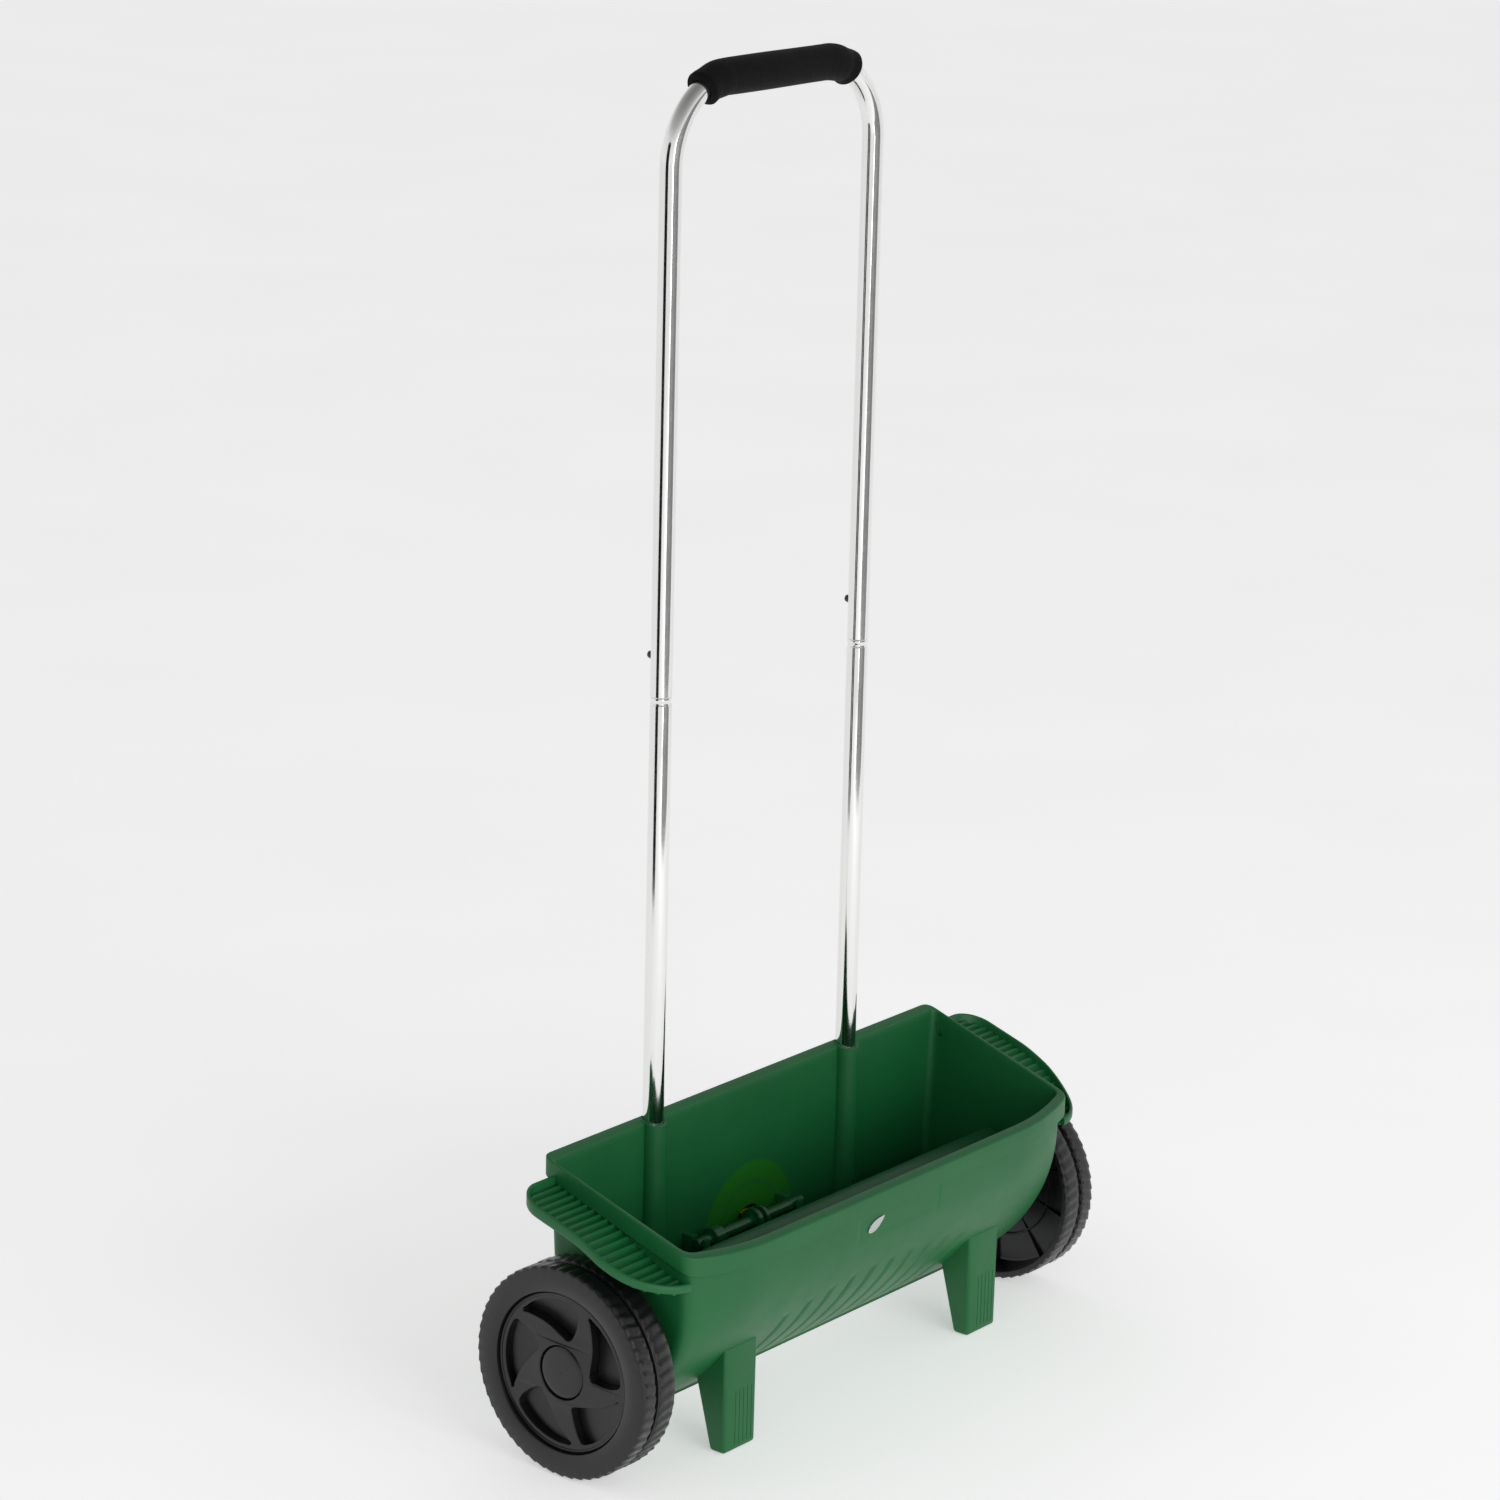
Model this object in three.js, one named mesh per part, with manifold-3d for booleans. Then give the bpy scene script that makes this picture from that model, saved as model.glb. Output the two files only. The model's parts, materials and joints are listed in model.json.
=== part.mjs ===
// Garden drop spreader: a green hopper on two wheels with a tubular handle.
// Millimetres, +Z up, +X along the axle to the right, -Y towards the front wall and the legs.
// The parts are drawn with the axle over Y = 0, and the whole group is then centred on its box in Y.
import * as THREE from "three";
import { mergeVertices } from "three/addons/utils/BufferGeometryUtils.js";
import Module from "manifold-3d";

const wasm = await Module();
wasm.setup();

// ---------------------------------------------------------------- driving dimensions

const GAP = 0.3; // clearance between pieces that touch

// Hopper
const HOPPER_LENGTH = 462; // over the end walls at the rim
const REAR_RIM_Y = 58; // outer face of the rear skirt
const FRONT_RIM_Y = -96; // outer face of the front skirt, in the middle
const REAR_RIM_Z = 220.6; // height of the rim at its rear edge
const RIM_SLOPE = 0.31; // the rim falls this much for each mm towards the front
const RIM_LIP = 2.5; // thickness of the flat lip
const SKIRT_HEIGHT = 15;
const SKIRT_WALL = 2;
const FRONT_SKIRT_REACH = 5; // from the front wall to the outside of its skirt
const REAR_SKIRT_REACH = 6;
const WALL = 2.6;
const BELLY_WALL = 3.8; // the round front carries the legs and is thicker
const BELLY_WALL_FADE = 30; // height over which it thickens
const FLOOR_Z = 32; // underside of the hopper floor
const END_DRAFT = 0.064; // the end walls lean outwards this much for each mm of height
const BELLY_RADIUS = 139; // round lower part of the front wall
const BELLY_TOP_Z = 150;
const REAR_CORNER_RADIUS = 24; // between the rear wall and the floor
const PLAN_CORNER = 9; // rounding of the upright corners
const BOW_STRAIGHT = 150; // the front wall is straight for this far each side of the middle
const BOW_RADIUS = 240; // and then curves back to the end walls
const BOW_FADE_LOW = 35; // the curve fades out between these two heights
const BOW_FADE_HIGH = 140;

// End trays
const TRAY_REACH = 273.5; // outermost X of each tray
const TRAY_REAR_Y = 47;
const TRAY_FRONT_Y = -82;
const TRAY_BELOW_RIM = 9.5;
const TRAY_DIP = 10; // extra fall of the front half of the tray
const TRAY_LIP = 7; // height of the lip over the tray floor
const TRAY_WALL = 2.5;
const TRAY_CORNER = 22;
const RIB_COUNT = 19;
const RIB_WIDTH = 1.6;
const RIB_HEIGHT = 3;

// Front legs
const LEG_X = 149; // middle of each leg
const LEG_WIDTH = 37;
const LEG_FRONT_Y = -66;
const LEG_FOOT_DEPTH = 14;
const LEG_TOP_DEPTH = 29;
const LEG_TAPER_HEIGHT = 52; // the depth grows from foot to top over this height
const LEG_WALL = 3;
const LEG_POCKET_TOP = 24;

// Handle
const HANDLE_Y = 50; // plane of the handle tubes
const HANDLE_SPACING = 231.4;
const TUBE_RADIUS = 8;
const TUBE_WALL = 0.8;
const HANDLE_TOP_Z = 984.3; // centre line of the cross piece
const BEND_RADIUS = 60;
const TUBE_JOINT_Z = 543;
const NECK_LENGTH = 45; // swaged end of the lower tube, inside the upper tube
const TUBE_FOOT_Z = 80;
const SOCKET_WALL = 2.2;
const BEND_STEP = 7; // degrees from one station of a bend to the next
const GRIP_RADIUS = 13.5;
const GRIP_SWEEP = 4 * BEND_STEP; // degrees of each bend that the foam covers
const BUTTON_Z = 572;
const BUTTON_RADIUS = 3;
const BUTTON_STANDS_OUT = 4.8;
const BUTTON_FLANGE = 1.2; // how far its foot reaches into the neck
const TUBE_SCREW_Z = 186;
const SMALL_SCREW = 1.4; // shank radius of the dial and tube screws

// Axle and wheels
const WHEEL_RADIUS = 80;
const WHEEL_WIDTH = 35;
const WHEEL_FACE_X = 275; // outer face of each wheel
const AXLE_RADIUS = 4;
const BUSH_RADIUS = 7;
const WASHER_THICK = 1.4;
const HUB_SEAT_RADIUS = 20.4;
const HUB_SEAT_DEPTH = 13;
const FACE_RING_RADIUS = 60.4; // where the flat tyre face ends and the dish begins

// Metering
const SLOT_COUNT = 10;
const SLOT_PITCH = 36;
const SLOT_LENGTH = 14;
const SLOT_WIDTH = 10;
const SLOT_Y = 7;
const SHUTTER_THICK = 1.7;
const SHUTTER_WIDTH = 23;
const SHUTTER_OFFSET = 20; // the shutter's slots start this far to the left: closed
const OUTLET_BASE = 2.5;
const OUTLET_RAIL = 3;
const OUTLET_SCREW_X = 204;
const OUTLET_SCREW = 1.5; // shank radius
const AGITATOR_RADIUS = 33;
const AGITATOR_HUB = 9;
const AGITATOR_PIN = 1.5;
const FINGER_HALF_WIDTH = 3;
const FINGER_HALF_THICK = 2.5;

// Load bar, flow spindle and dial
const LOAD_BAR_Y = -22.5;
const LOAD_BAR_Z = 125.5;
const LOAD_BAR_RADIUS = 14;
const LOAD_BAR_END_GAP = 8;
const LOAD_BAR_ROUND = 6; // rounding of its shoulders
const LOAD_BAR_PIN = 4;
const LOAD_BAR_WALL = 5.5;
const LOAD_BAR_VENT = 2; // radius of the hole along each end pin
const SPINDLE_Y = 34;
const SPINDLE_Z = 112.5;
const SPINDLE_RADIUS = 4.5;
const SPINDLE_COLLAR = 10;
const SPINDLE_ARM_X = -60;
const SADDLE_XS = [-77, 35]; // brackets that carry the spindle
const SADDLE_HALF = 3;
const DIAL_Z = 99.5;
const SCALE_RADIUS = 53;
const SCALE_THICK = 2;
const DIAL_RADIUS = 28;
const DIAL_SHAFT = 5;
const CRANK_RADIUS = 15.5;
const CRANK_START = 40; // degrees before top centre
const CRANK_PIN = 1.8;

// ---------------------------------------------------------------- values worked out from them

const MID_Y = (FRONT_RIM_Y + WHEEL_RADIUS) / 2;
const HALF_LENGTH = HOPPER_LENGTH / 2;
const FRONT_WALL_Y = FRONT_RIM_Y + FRONT_SKIRT_REACH;
const REAR_WALL_Y = REAR_RIM_Y - REAR_SKIRT_REACH;
const REAR_INNER_Y = REAR_WALL_Y - WALL;
const AXLE_Z = WHEEL_RADIUS;
const HANDLE_X = HANDLE_SPACING / 2;
const WHEEL_INNER_X = WHEEL_FACE_X - WHEEL_WIDTH;
const TOP_CUT_Z = REAR_RIM_Z + 40;

const rimZ = (y) => REAR_RIM_Z + RIM_SLOPE * (y - REAR_RIM_Y);
const halfLengthAt = (z) => HALF_LENGTH - END_DRAFT * (rimZ(0) - z);
const smooth = (t) => {
  const s = Math.min(1, Math.max(0, t));
  return s * s * (3 - 2 * s);
};
const radians = (degrees) => (degrees * Math.PI) / 180;

// How far the front wall has curved back towards the end walls at x.
function bowDrop(x, z) {
  const run = Math.max(0, Math.abs(x) - BOW_STRAIGHT);
  const fade = smooth((z - BOW_FADE_LOW) / (BOW_FADE_HIGH - BOW_FADE_LOW));
  return (BOW_RADIUS - Math.sqrt(BOW_RADIUS ** 2 - run ** 2)) * fade;
}

// The front wall at the end walls, as far as its round belly is concerned.
function bellyY(z, inset) {
  const centreY = FRONT_WALL_Y + bowDrop(HALF_LENGTH, TOP_CUT_Z) + BELLY_RADIUS;
  const height = Math.max(0, BELLY_TOP_Z - z);
  return centreY - Math.sqrt((BELLY_RADIUS - inset) ** 2 - height ** 2);
}

// ---------------------------------------------------------------- solids

function solidOf(geometry) {
  const bare = geometry.clone();
  bare.deleteAttribute("normal");
  bare.deleteAttribute("uv");
  const merged = mergeVertices(bare, 1e-3);
  const mesh = new wasm.Mesh({
    numProp: 3,
    vertProperties: new Float32Array(merged.attributes.position.array),
    triVerts: new Uint32Array(merged.index.array),
  });
  return new wasm.Manifold(mesh);
}

function geometryOf(solid) {
  const mesh = solid.getMesh();
  const geometry = new THREE.BufferGeometry();
  geometry.setAttribute("position", new THREE.BufferAttribute(mesh.vertProperties, 3));
  geometry.setIndex(new THREE.BufferAttribute(mesh.triVerts, 1));
  geometry.computeVertexNormals();
  return geometry;
}

const join = (...solids) => solids.reduce((a, b) => a.add(b));
const cut = (solid, ...tools) => tools.reduce((a, b) => a.subtract(b), solid);

function box(x0, x1, y0, y1, z0, z1) {
  const geometry = new THREE.BoxGeometry(x1 - x0, y1 - y0, z1 - z0);
  return solidOf(geometry.translate((x0 + x1) / 2, (y0 + y1) / 2, (z0 + z1) / 2));
}

// Turns a geometry drawn along Y so that it lies along X, Y or Z.
function layAlong(geometry, axis) {
  if (axis === "x") geometry.rotateZ(-Math.PI / 2);
  if (axis === "z") geometry.rotateX(Math.PI / 2);
  return geometry;
}

// A rod along an axis from one station to another, at the two other coordinates in order.
function rod(axis, from, to, a, b, radius, sides = 24) {
  const geometry = new THREE.CylinderGeometry(radius, radius, to - from, sides);
  layAlong(geometry.translate(0, (from + to) / 2, 0), axis);
  if (axis === "x") geometry.translate(0, a, b);
  if (axis === "y") geometry.translate(a, 0, b);
  if (axis === "z") geometry.translate(a, b, 0);
  return solidOf(geometry);
}

// A turned piece: [radius, station] pairs, listed up the outside and down the inside.
function turned(profile, axis, sides = 32) {
  const points = [...profile, profile[0]].map(([r, s]) => new THREE.Vector2(r, s));
  return solidOf(layAlong(new THREE.LatheGeometry(points, sides), axis));
}

// A closed skin over rings of points: each ring has the same number of points, anticlockwise
// as seen from above the last ring.
function loft(rings) {
  const count = rings[0].length;
  const positions = rings.flat().flatMap((p) => [p.x, p.y, p.z]);
  const index = [];
  for (let level = 0; level < rings.length - 1; level++) {
    for (let i = 0; i < count; i++) {
      const a = level * count + i;
      const b = level * count + ((i + 1) % count);
      index.push(a, b, b + count, a, b + count, a + count);
    }
  }
  const flat = rings[0].map((p) => new THREE.Vector2(p.x, p.y));
  const last = (rings.length - 1) * count;
  for (const [a, b, c] of THREE.ShapeUtils.triangulateShape(flat, [])) {
    index.push(a, c, b);
  }
  const top = rings.at(-1).map((p) => new THREE.Vector2(p.x, p.y));
  for (const [a, b, c] of THREE.ShapeUtils.triangulateShape(top, [])) {
    index.push(last + a, last + b, last + c);
  }
  const geometry = new THREE.BufferGeometry();
  geometry.setAttribute("position", new THREE.Float32BufferAttribute(positions, 3));
  geometry.setIndex(index);
  return solidOf(geometry);
}

// A flat outline of [y, z] points drawn out along X.
function prism(outline, x0, x1) {
  const shape = new THREE.Shape(outline.map(([y, z]) => new THREE.Vector2(y, z)));
  const geometry = new THREE.ExtrudeGeometry(shape, { depth: x1 - x0, bevelEnabled: false });
  geometry.rotateX(Math.PI / 2).rotateZ(Math.PI / 2);
  return solidOf(geometry.translate(x0, 0, 0));
}

// ---------------------------------------------------------------- materials

const paint = (color, roughness, metalness = 0) =>
  new THREE.MeshStandardMaterial({ color, roughness, metalness });

const MATERIALS = {
  green: paint(0x1f6b3c, 0.45),
  darkGreen: paint(0x0f4a26, 0.3),
  black: paint(0x2b2b2d, 0.6),
  foam: paint(0x0a0a0a, 0.95),
  chrome: paint(0xd5d6d4, 0.15, 1),
  steel: paint(0xa8a9aa, 0.35, 1),
  nylon: paint(0xe4e2d8, 0.5),
  yellow: paint(0xd9c321, 0.45),
  silver: paint(0xc9ccc9, 0.3, 0.8),
};

const spreader = new THREE.Group();
spreader.position.y = -MID_Y;

function addNode(name, solid, material, place = {}) {
  const mesh = new THREE.Mesh(geometryOf(solid), MATERIALS[material]);
  mesh.name = name;
  mesh.position.set(place.x ?? 0, place.y ?? 0, place.z ?? 0);
  mesh.rotation.z = place.turn ?? 0;
  spreader.add(mesh);
}

const SIDES = [
  ["left", -1],
  ["right", 1],
];

// ---------------------------------------------------------------- hopper

// The outline of the hopper seen from above: the front edge, then the right end, rear and left.
function planOutline({ half, rear, front, corner, bowAt, z }) {
  const frontY = (x) => front + bowDrop(x, bowAt);
  const right = [];
  const corners = half - corner;
  right.push([0, frontY(0)], [BOW_STRAIGHT / 2, frontY(0)]);
  const bowSteps = 6;
  for (let i = 0; i <= bowSteps; i++) {
    const x = BOW_STRAIGHT + ((corners - BOW_STRAIGHT) * i) / bowSteps;
    right.push([x, frontY(x)]);
  }
  const frontCorner = new THREE.QuadraticBezierCurve(
    new THREE.Vector2(corners, frontY(corners)),
    new THREE.Vector2(half, frontY(half)),
    new THREE.Vector2(half, frontY(half) + corner),
  );
  const rearCorner = new THREE.QuadraticBezierCurve(
    new THREE.Vector2(half, rear - corner),
    new THREE.Vector2(half, rear),
    new THREE.Vector2(corners, rear),
  );
  const cornerSteps = 3;
  frontCorner.getPoints(cornerSteps).slice(1).forEach((p) => right.push([p.x, p.y]));
  rearCorner.getPoints(cornerSteps).forEach((p) => right.push([p.x, p.y]));
  const left = right.slice(1).reverse().map(([x, y]) => [-x, y]);
  return [...right, ...left].map(([x, y]) => new THREE.Vector3(x, y, z(y)));
}

const bellyThickening = (z) =>
  (BELLY_WALL - WALL) * smooth((BELLY_TOP_Z - z) / BELLY_WALL_FADE);

// The body of the hopper grown inwards by inset, from its floor to well above the rim. Its front
// can be grown inwards further by an amount that depends on the height.
function hopperBody(inset, frontExtra = () => 0) {
  const floor = FLOOR_Z + inset;
  const cornerZ = FLOOR_Z + REAR_CORNER_RADIUS;
  const heights = [0, 0.04, 0.1, 0.18, 0.28, 0.4, 0.54, 0.7, 0.86, 1].map(
    (share) => floor + share * (BELLY_TOP_Z - floor),
  );
  const rings = [...heights, TOP_CUT_Z].map((z) => {
    const below = Math.max(0, cornerZ - z);
    const round = REAR_CORNER_RADIUS - Math.sqrt(
      Math.max(0, (REAR_CORNER_RADIUS - inset) ** 2 - below ** 2),
    );
    const bow = bowDrop(HALF_LENGTH, z);
    return planOutline({
      half: halfLengthAt(z) - inset,
      rear: REAR_WALL_Y - round,
      front: bellyY(z, inset + frontExtra(z)) - bow,
      corner: PLAN_CORNER - inset,
      bowAt: z,
      z: () => z,
    });
  });
  return loft(rings);
}

// A band that follows the sloping rim, between two depths below it.
function rimBand({ half, rear, front, corner, low, high }) {
  return loft(
    [low, high].map((depth) =>
      planOutline({ half, rear, front, corner, bowAt: TOP_CUT_Z, z: (y) => rimZ(y) - depth }),
    ),
  );
}

function aboveRim(raise) {
  const reach = HALF_LENGTH * 2;
  const outline = [
    [-reach, rimZ(-reach) + raise],
    [reach, rimZ(reach) + raise],
    [reach, rimZ(reach) + reach],
    [-reach, rimZ(reach) + reach],
  ];
  return prism(outline, -reach, reach);
}

function rimFlange() {
  const skirt = { half: HALF_LENGTH, rear: REAR_RIM_Y, front: FRONT_RIM_Y, corner: PLAN_CORNER };
  const band = rimBand({ ...skirt, low: SKIRT_HEIGHT, high: 0 });
  const hollow = rimBand({
    half: HALF_LENGTH - PLAN_CORNER,
    rear: REAR_RIM_Y - SKIRT_WALL,
    front: FRONT_RIM_Y + SKIRT_WALL,
    corner: PLAN_CORNER,
    low: SKIRT_HEIGHT + 1,
    high: RIM_LIP,
  });
  return cut(band, cut(hollow, hopperBody(0)));
}

const SOCKET_RADIUS = TUBE_RADIUS + GAP + SOCKET_WALL;

function tubeSocket(side) {
  return rod("z", TUBE_FOOT_Z - 10, TOP_CUT_Z, side * HANDLE_X, HANDLE_Y, SOCKET_RADIUS);
}

function tubeSocketBore(side) {
  const x = side * HANDLE_X;
  const screw = rod("y", HANDLE_Y, HANDLE_Y + SOCKET_RADIUS + 1, x, TUBE_SCREW_Z, SMALL_SCREW + GAP, 12);
  return join(rod("z", TUBE_FOOT_Z - 1, TOP_CUT_Z + 1, x, HANDLE_Y, TUBE_RADIUS + GAP), screw);
}

// Height of the lip of an end tray, which follows the rim and dips towards the front.
function trayTopZ(y) {
  const dip = TRAY_DIP * smooth((-5 - y) / 60);
  return rimZ(y) - TRAY_BELOW_RIM - dip;
}

// Outermost X of an end tray at y: a round rear corner, a straight edge and a long round front.
function trayReachAt(y, inset) {
  const roundStart = TRAY_REAR_Y - TRAY_CORNER;
  if (y > roundStart) {
    const run = y - roundStart;
    const radius = TRAY_CORNER - inset;
    const chord = Math.sqrt(Math.max(0, radius ** 2 - run ** 2));
    return TRAY_REACH - TRAY_CORNER + chord;
  }
  const frontRound = 52;
  const taper = Math.max(0, (TRAY_FRONT_Y + frontRound - y) / (frontRound - inset));
  const width = TRAY_REACH - inset - HALF_LENGTH + 5;
  return HALF_LENGTH - 5 + width * Math.sqrt(Math.max(0, 1 - taper ** 1.6));
}

// A run of upright rectangular sections from the rear of the tray to its front.
function traySolid(side, inset, lowZ, highZ) {
  const stations = 22;
  const from = TRAY_FRONT_Y + inset + 0.01;
  const to = TRAY_REAR_Y - inset - 0.01;
  const root = HALF_LENGTH - 8;
  const rings = [];
  for (let i = 0; i <= stations; i++) {
    const y = (from + to) / 2 - ((to - from) / 2) * Math.cos((Math.PI * i) / stations);
    const reach = Math.max(root + 1, trayReachAt(y, inset));
    const section = [
      [root, lowZ(y)],
      [root, highZ(y)],
      [reach, highZ(y)],
      [reach, lowZ(y)],
    ];
    rings.push({ y, section });
  }
  const positions = rings.flatMap(({ y, section }) =>
    section.flatMap(([x, z]) => [side * x, y, z]),
  );
  const index = [];
  for (let ring = 0; ring < stations; ring++) {
    for (let i = 0; i < 4; i++) {
      const a = ring * 4 + i;
      const b = ring * 4 + ((i + 1) % 4);
      index.push(a, b, b + 4, a, b + 4, a + 4);
    }
  }
  const last = stations * 4;
  index.push(0, 2, 1, 0, 3, 2, last, last + 1, last + 2, last, last + 2, last + 3);
  if (side < 0) {
    index.reverse();
  }
  const geometry = new THREE.BufferGeometry();
  geometry.setAttribute("position", new THREE.Float32BufferAttribute(positions, 3));
  geometry.setIndex(index);
  return solidOf(geometry);
}

function endTray(side) {
  const floorZ = (y) => trayTopZ(y) - TRAY_LIP;
  const shell = traySolid(side, 0, (y) => floorZ(y) - TRAY_WALL, trayTopZ);
  const pocket = traySolid(side, TRAY_WALL, floorZ, (y) => trayTopZ(y) + 1);
  let tray = cut(shell, pocket);
  const pitch = (TRAY_REAR_Y - TRAY_FRONT_Y) / (RIB_COUNT + 1);
  for (let i = 1; i <= RIB_COUNT; i++) {
    const y = TRAY_REAR_Y - i * pitch;
    const reach = trayReachAt(y, TRAY_WALL) + TRAY_WALL / 2;
    const low = floorZ(y) - TRAY_WALL / 2;
    const ends = [side * (HALF_LENGTH - 8), side * reach].sort((a, b) => a - b);
    const rib = box(...ends, y - RIB_WIDTH / 2, y + RIB_WIDTH / 2, low, floorZ(y) + RIB_HEIGHT);
    tray = join(tray, rib);
  }
  return tray;
}

function frontLeg(side) {
  const top = BELLY_TOP_Z * 0.7;
  const lean = (LEG_TOP_DEPTH - LEG_FOOT_DEPTH) / LEG_TAPER_HEIGHT;
  const outline = [
    [LEG_FRONT_Y, 0],
    [LEG_FRONT_Y + LEG_FOOT_DEPTH, 0],
    [LEG_FRONT_Y + LEG_FOOT_DEPTH + lean * top, top],
    [LEG_FRONT_Y, top],
  ];
  const x = side * LEG_X;
  const leg = prism(outline, x - LEG_WIDTH / 2, x + LEG_WIDTH / 2);
  const inner = LEG_WIDTH / 2 - LEG_WALL;
  const pocket = box(x - inner, x + inner, LEG_FRONT_Y + LEG_WALL, 0, LEG_WALL, LEG_POCKET_TOP);
  return cut(leg, pocket);
}

// A cradle on each end wall that takes an end pin of the load bar from above.
function barCradle(side) {
  const inner = halfLengthAt(LOAD_BAR_Z) - WALL - LOAD_BAR_END_GAP + GAP + 1;
  const ends = [side * inner, side * (halfLengthAt(LOAD_BAR_Z) - 1)].sort((a, b) => a - b);
  const y = LOAD_BAR_Y;
  const width = LOAD_BAR_PIN * 2;
  const block = box(...ends, y - width, y + width, LOAD_BAR_Z - width, LOAD_BAR_Z + width / 2);
  const reach = LOAD_BAR_PIN + GAP;
  const notch = join(
    rod("x", ends[0] - 1, ends[1] + 1, y, LOAD_BAR_Z, reach),
    box(ends[0] - 1, ends[1] + 1, y - reach, y + reach, LOAD_BAR_Z, LOAD_BAR_Z + width),
  );
  return { block, notch };
}


// A bracket on the rear wall that carries the flow spindle in an open notch.
function spindleSaddle(x) {
  const grip = SPINDLE_RADIUS + GAP;
  const low = SPINDLE_Z - grip - 4;
  const high = SPINDLE_Z + grip;
  const front = SPINDLE_Y - grip - 3;
  const ends = [x - SADDLE_HALF - 1, x + SADDLE_HALF + 1];
  const block = box(x - SADDLE_HALF, x + SADDLE_HALF, front, REAR_WALL_Y - 1, low, high);
  const notch = join(
    rod("x", ...ends, SPINDLE_Y, SPINDLE_Z, grip),
    box(...ends, SPINDLE_Y - grip, SPINDLE_Y + grip, SPINDLE_Z, high + 1),
  );
  return cut(block, notch);
}

const CRANK_TRAVEL = 2 * CRANK_RADIUS * Math.sin(radians(CRANK_START));
const ARM_HALF = 4;
const ARM_Y = [SPINDLE_Y + SPINDLE_RADIUS, SPINDLE_Y + SPINDLE_RADIUS + 3.5];
const FLOOR_SCREW_YS = [SLOT_Y - 9, SLOT_Y + 9];

// The ring-shaped slot that the crank pin swings in, drawn out along Y.
function crankSlot(y0, y1) {
  const half = CRANK_PIN + GAP * 2;
  const reach = radians(CRANK_START) + half / CRANK_RADIUS;
  const top = Math.PI / 2;
  const outline = new THREE.Shape();
  outline.absarc(0, 0, CRANK_RADIUS + half, top - reach, top + reach, false);
  outline.absarc(0, 0, CRANK_RADIUS - half, top + reach, top - reach, true);
  const options = { depth: y1 - y0, bevelEnabled: false, curveSegments: 10 };
  const geometry = new THREE.ExtrudeGeometry(outline, options);
  return solidOf(geometry.rotateX(Math.PI / 2).translate(0, y1, DIAL_Z));
}

function meteringSlots(offset, z0, z1) {
  const slots = [];
  for (let i = 0; i < SLOT_COUNT; i++) {
    const x = (i - (SLOT_COUNT - 1) / 2) * SLOT_PITCH + offset;
    const y = SLOT_Y;
    slots.push(
      box(x - SLOT_LENGTH / 2, x + SLOT_LENGTH / 2, y - SLOT_WIDTH / 2, y + SLOT_WIDTH / 2, z0, z1),
    );
  }
  return slots;
}

function outletScrewPlaces() {
  return SIDES.flatMap(([, side]) => FLOOR_SCREW_YS.map((y) => [side * OUTLET_SCREW_X, y]));
}

function buildHopper() {
  const cavity = hopperBody(WALL, bellyThickening);
  const sockets = SIDES.map(([, side]) => tubeSocket(side));
  const cradles = SIDES.map(([, side]) => barCradle(side));
  const bossTop = FLOOR_Z + 9;
  const screwBosses = outletScrewPlaces().map(([x, y]) => rod("z", FLOOR_Z, bossTop, x, y, 4, 12));
  let hopper = join(
    hopperBody(0),
    rimFlange(),
    ...SIDES.map(([, side]) => endTray(side)),
    ...SIDES.map(([, side]) => frontLeg(side)),
  );
  hopper = cut(hopper, cavity);
  hopper = join(hopper, ...sockets, ...cradles.map((c) => c.block), ...screwBosses);
  hopper = join(hopper, ...SADDLE_XS.map(spindleSaddle));
  hopper = cut(hopper, aboveRim(0), ...cradles.map((c) => c.notch));
  hopper = cut(hopper, ...SIDES.map(([, side]) => tubeSocketBore(side)));
  const reach = HALF_LENGTH + 10;
  hopper = cut(hopper, rod("x", -reach, reach, 0, AXLE_Z, BUSH_RADIUS + GAP));
  hopper = cut(hopper, ...meteringSlots(0, FLOOR_Z - 1, FLOOR_Z + WALL + 1));
  const screwHoles = outletScrewPlaces().map(([x, y]) =>
    rod("z", FLOOR_Z - 1, FLOOR_Z + 7, x, y, OUTLET_SCREW + GAP, 12),
  );
  hopper = cut(hopper, ...screwHoles);
  const shaftHole = rod("y", REAR_INNER_Y - 1, REAR_WALL_Y + 1, 0, DIAL_Z, DIAL_SHAFT + GAP);
  const armSlot = box(
    SPINDLE_ARM_X - ARM_HALF - 2 * GAP,
    SPINDLE_ARM_X + ARM_HALF + CRANK_TRAVEL + 2 * GAP,
    ARM_Y[0] - 2 * GAP,
    ARM_Y[1] + 2 * GAP,
    FLOOR_Z - 1,
    FLOOR_Z + 16,
  );
  return cut(hopper, shaftHole, crankSlot(REAR_INNER_Y - 1, REAR_WALL_Y + 1), armSlot);
}

addNode("hopper", buildHopper(), "green");

// ---------------------------------------------------------------- load bar

function buildLoadBar() {
  const end = halfLengthAt(LOAD_BAR_Z) - WALL - LOAD_BAR_END_GAP;
  const side = [];
  for (let i = 0; i <= 4; i++) {
    const angle = (Math.PI / 2) * (i / 4);
    side.push([
      LOAD_BAR_RADIUS - LOAD_BAR_ROUND * (1 - Math.cos(angle)),
      end - LOAD_BAR_ROUND * (1 - Math.sin(angle)),
    ]);
  }
  const pin = [
    [LOAD_BAR_PIN, end],
    [LOAD_BAR_PIN, end + LOAD_BAR_END_GAP - GAP],
    [LOAD_BAR_VENT, end + LOAD_BAR_END_GAP - GAP],
  ];
  const bore = [
    [LOAD_BAR_VENT, end - LOAD_BAR_WALL * 2],
    [LOAD_BAR_RADIUS - LOAD_BAR_WALL, end - LOAD_BAR_WALL * 2 - LOAD_BAR_ROUND / 2],
  ];
  const upper = [...side, ...pin];
  const mirrored = (points) => points.map(([r, s]) => [r, -s]).reverse();
  return turned([...mirrored(upper), ...upper, ...bore, ...mirrored(bore)], "x", 28);
}

addNode("load_bar", buildLoadBar(), "darkGreen", { y: LOAD_BAR_Y, z: LOAD_BAR_Z });

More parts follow.
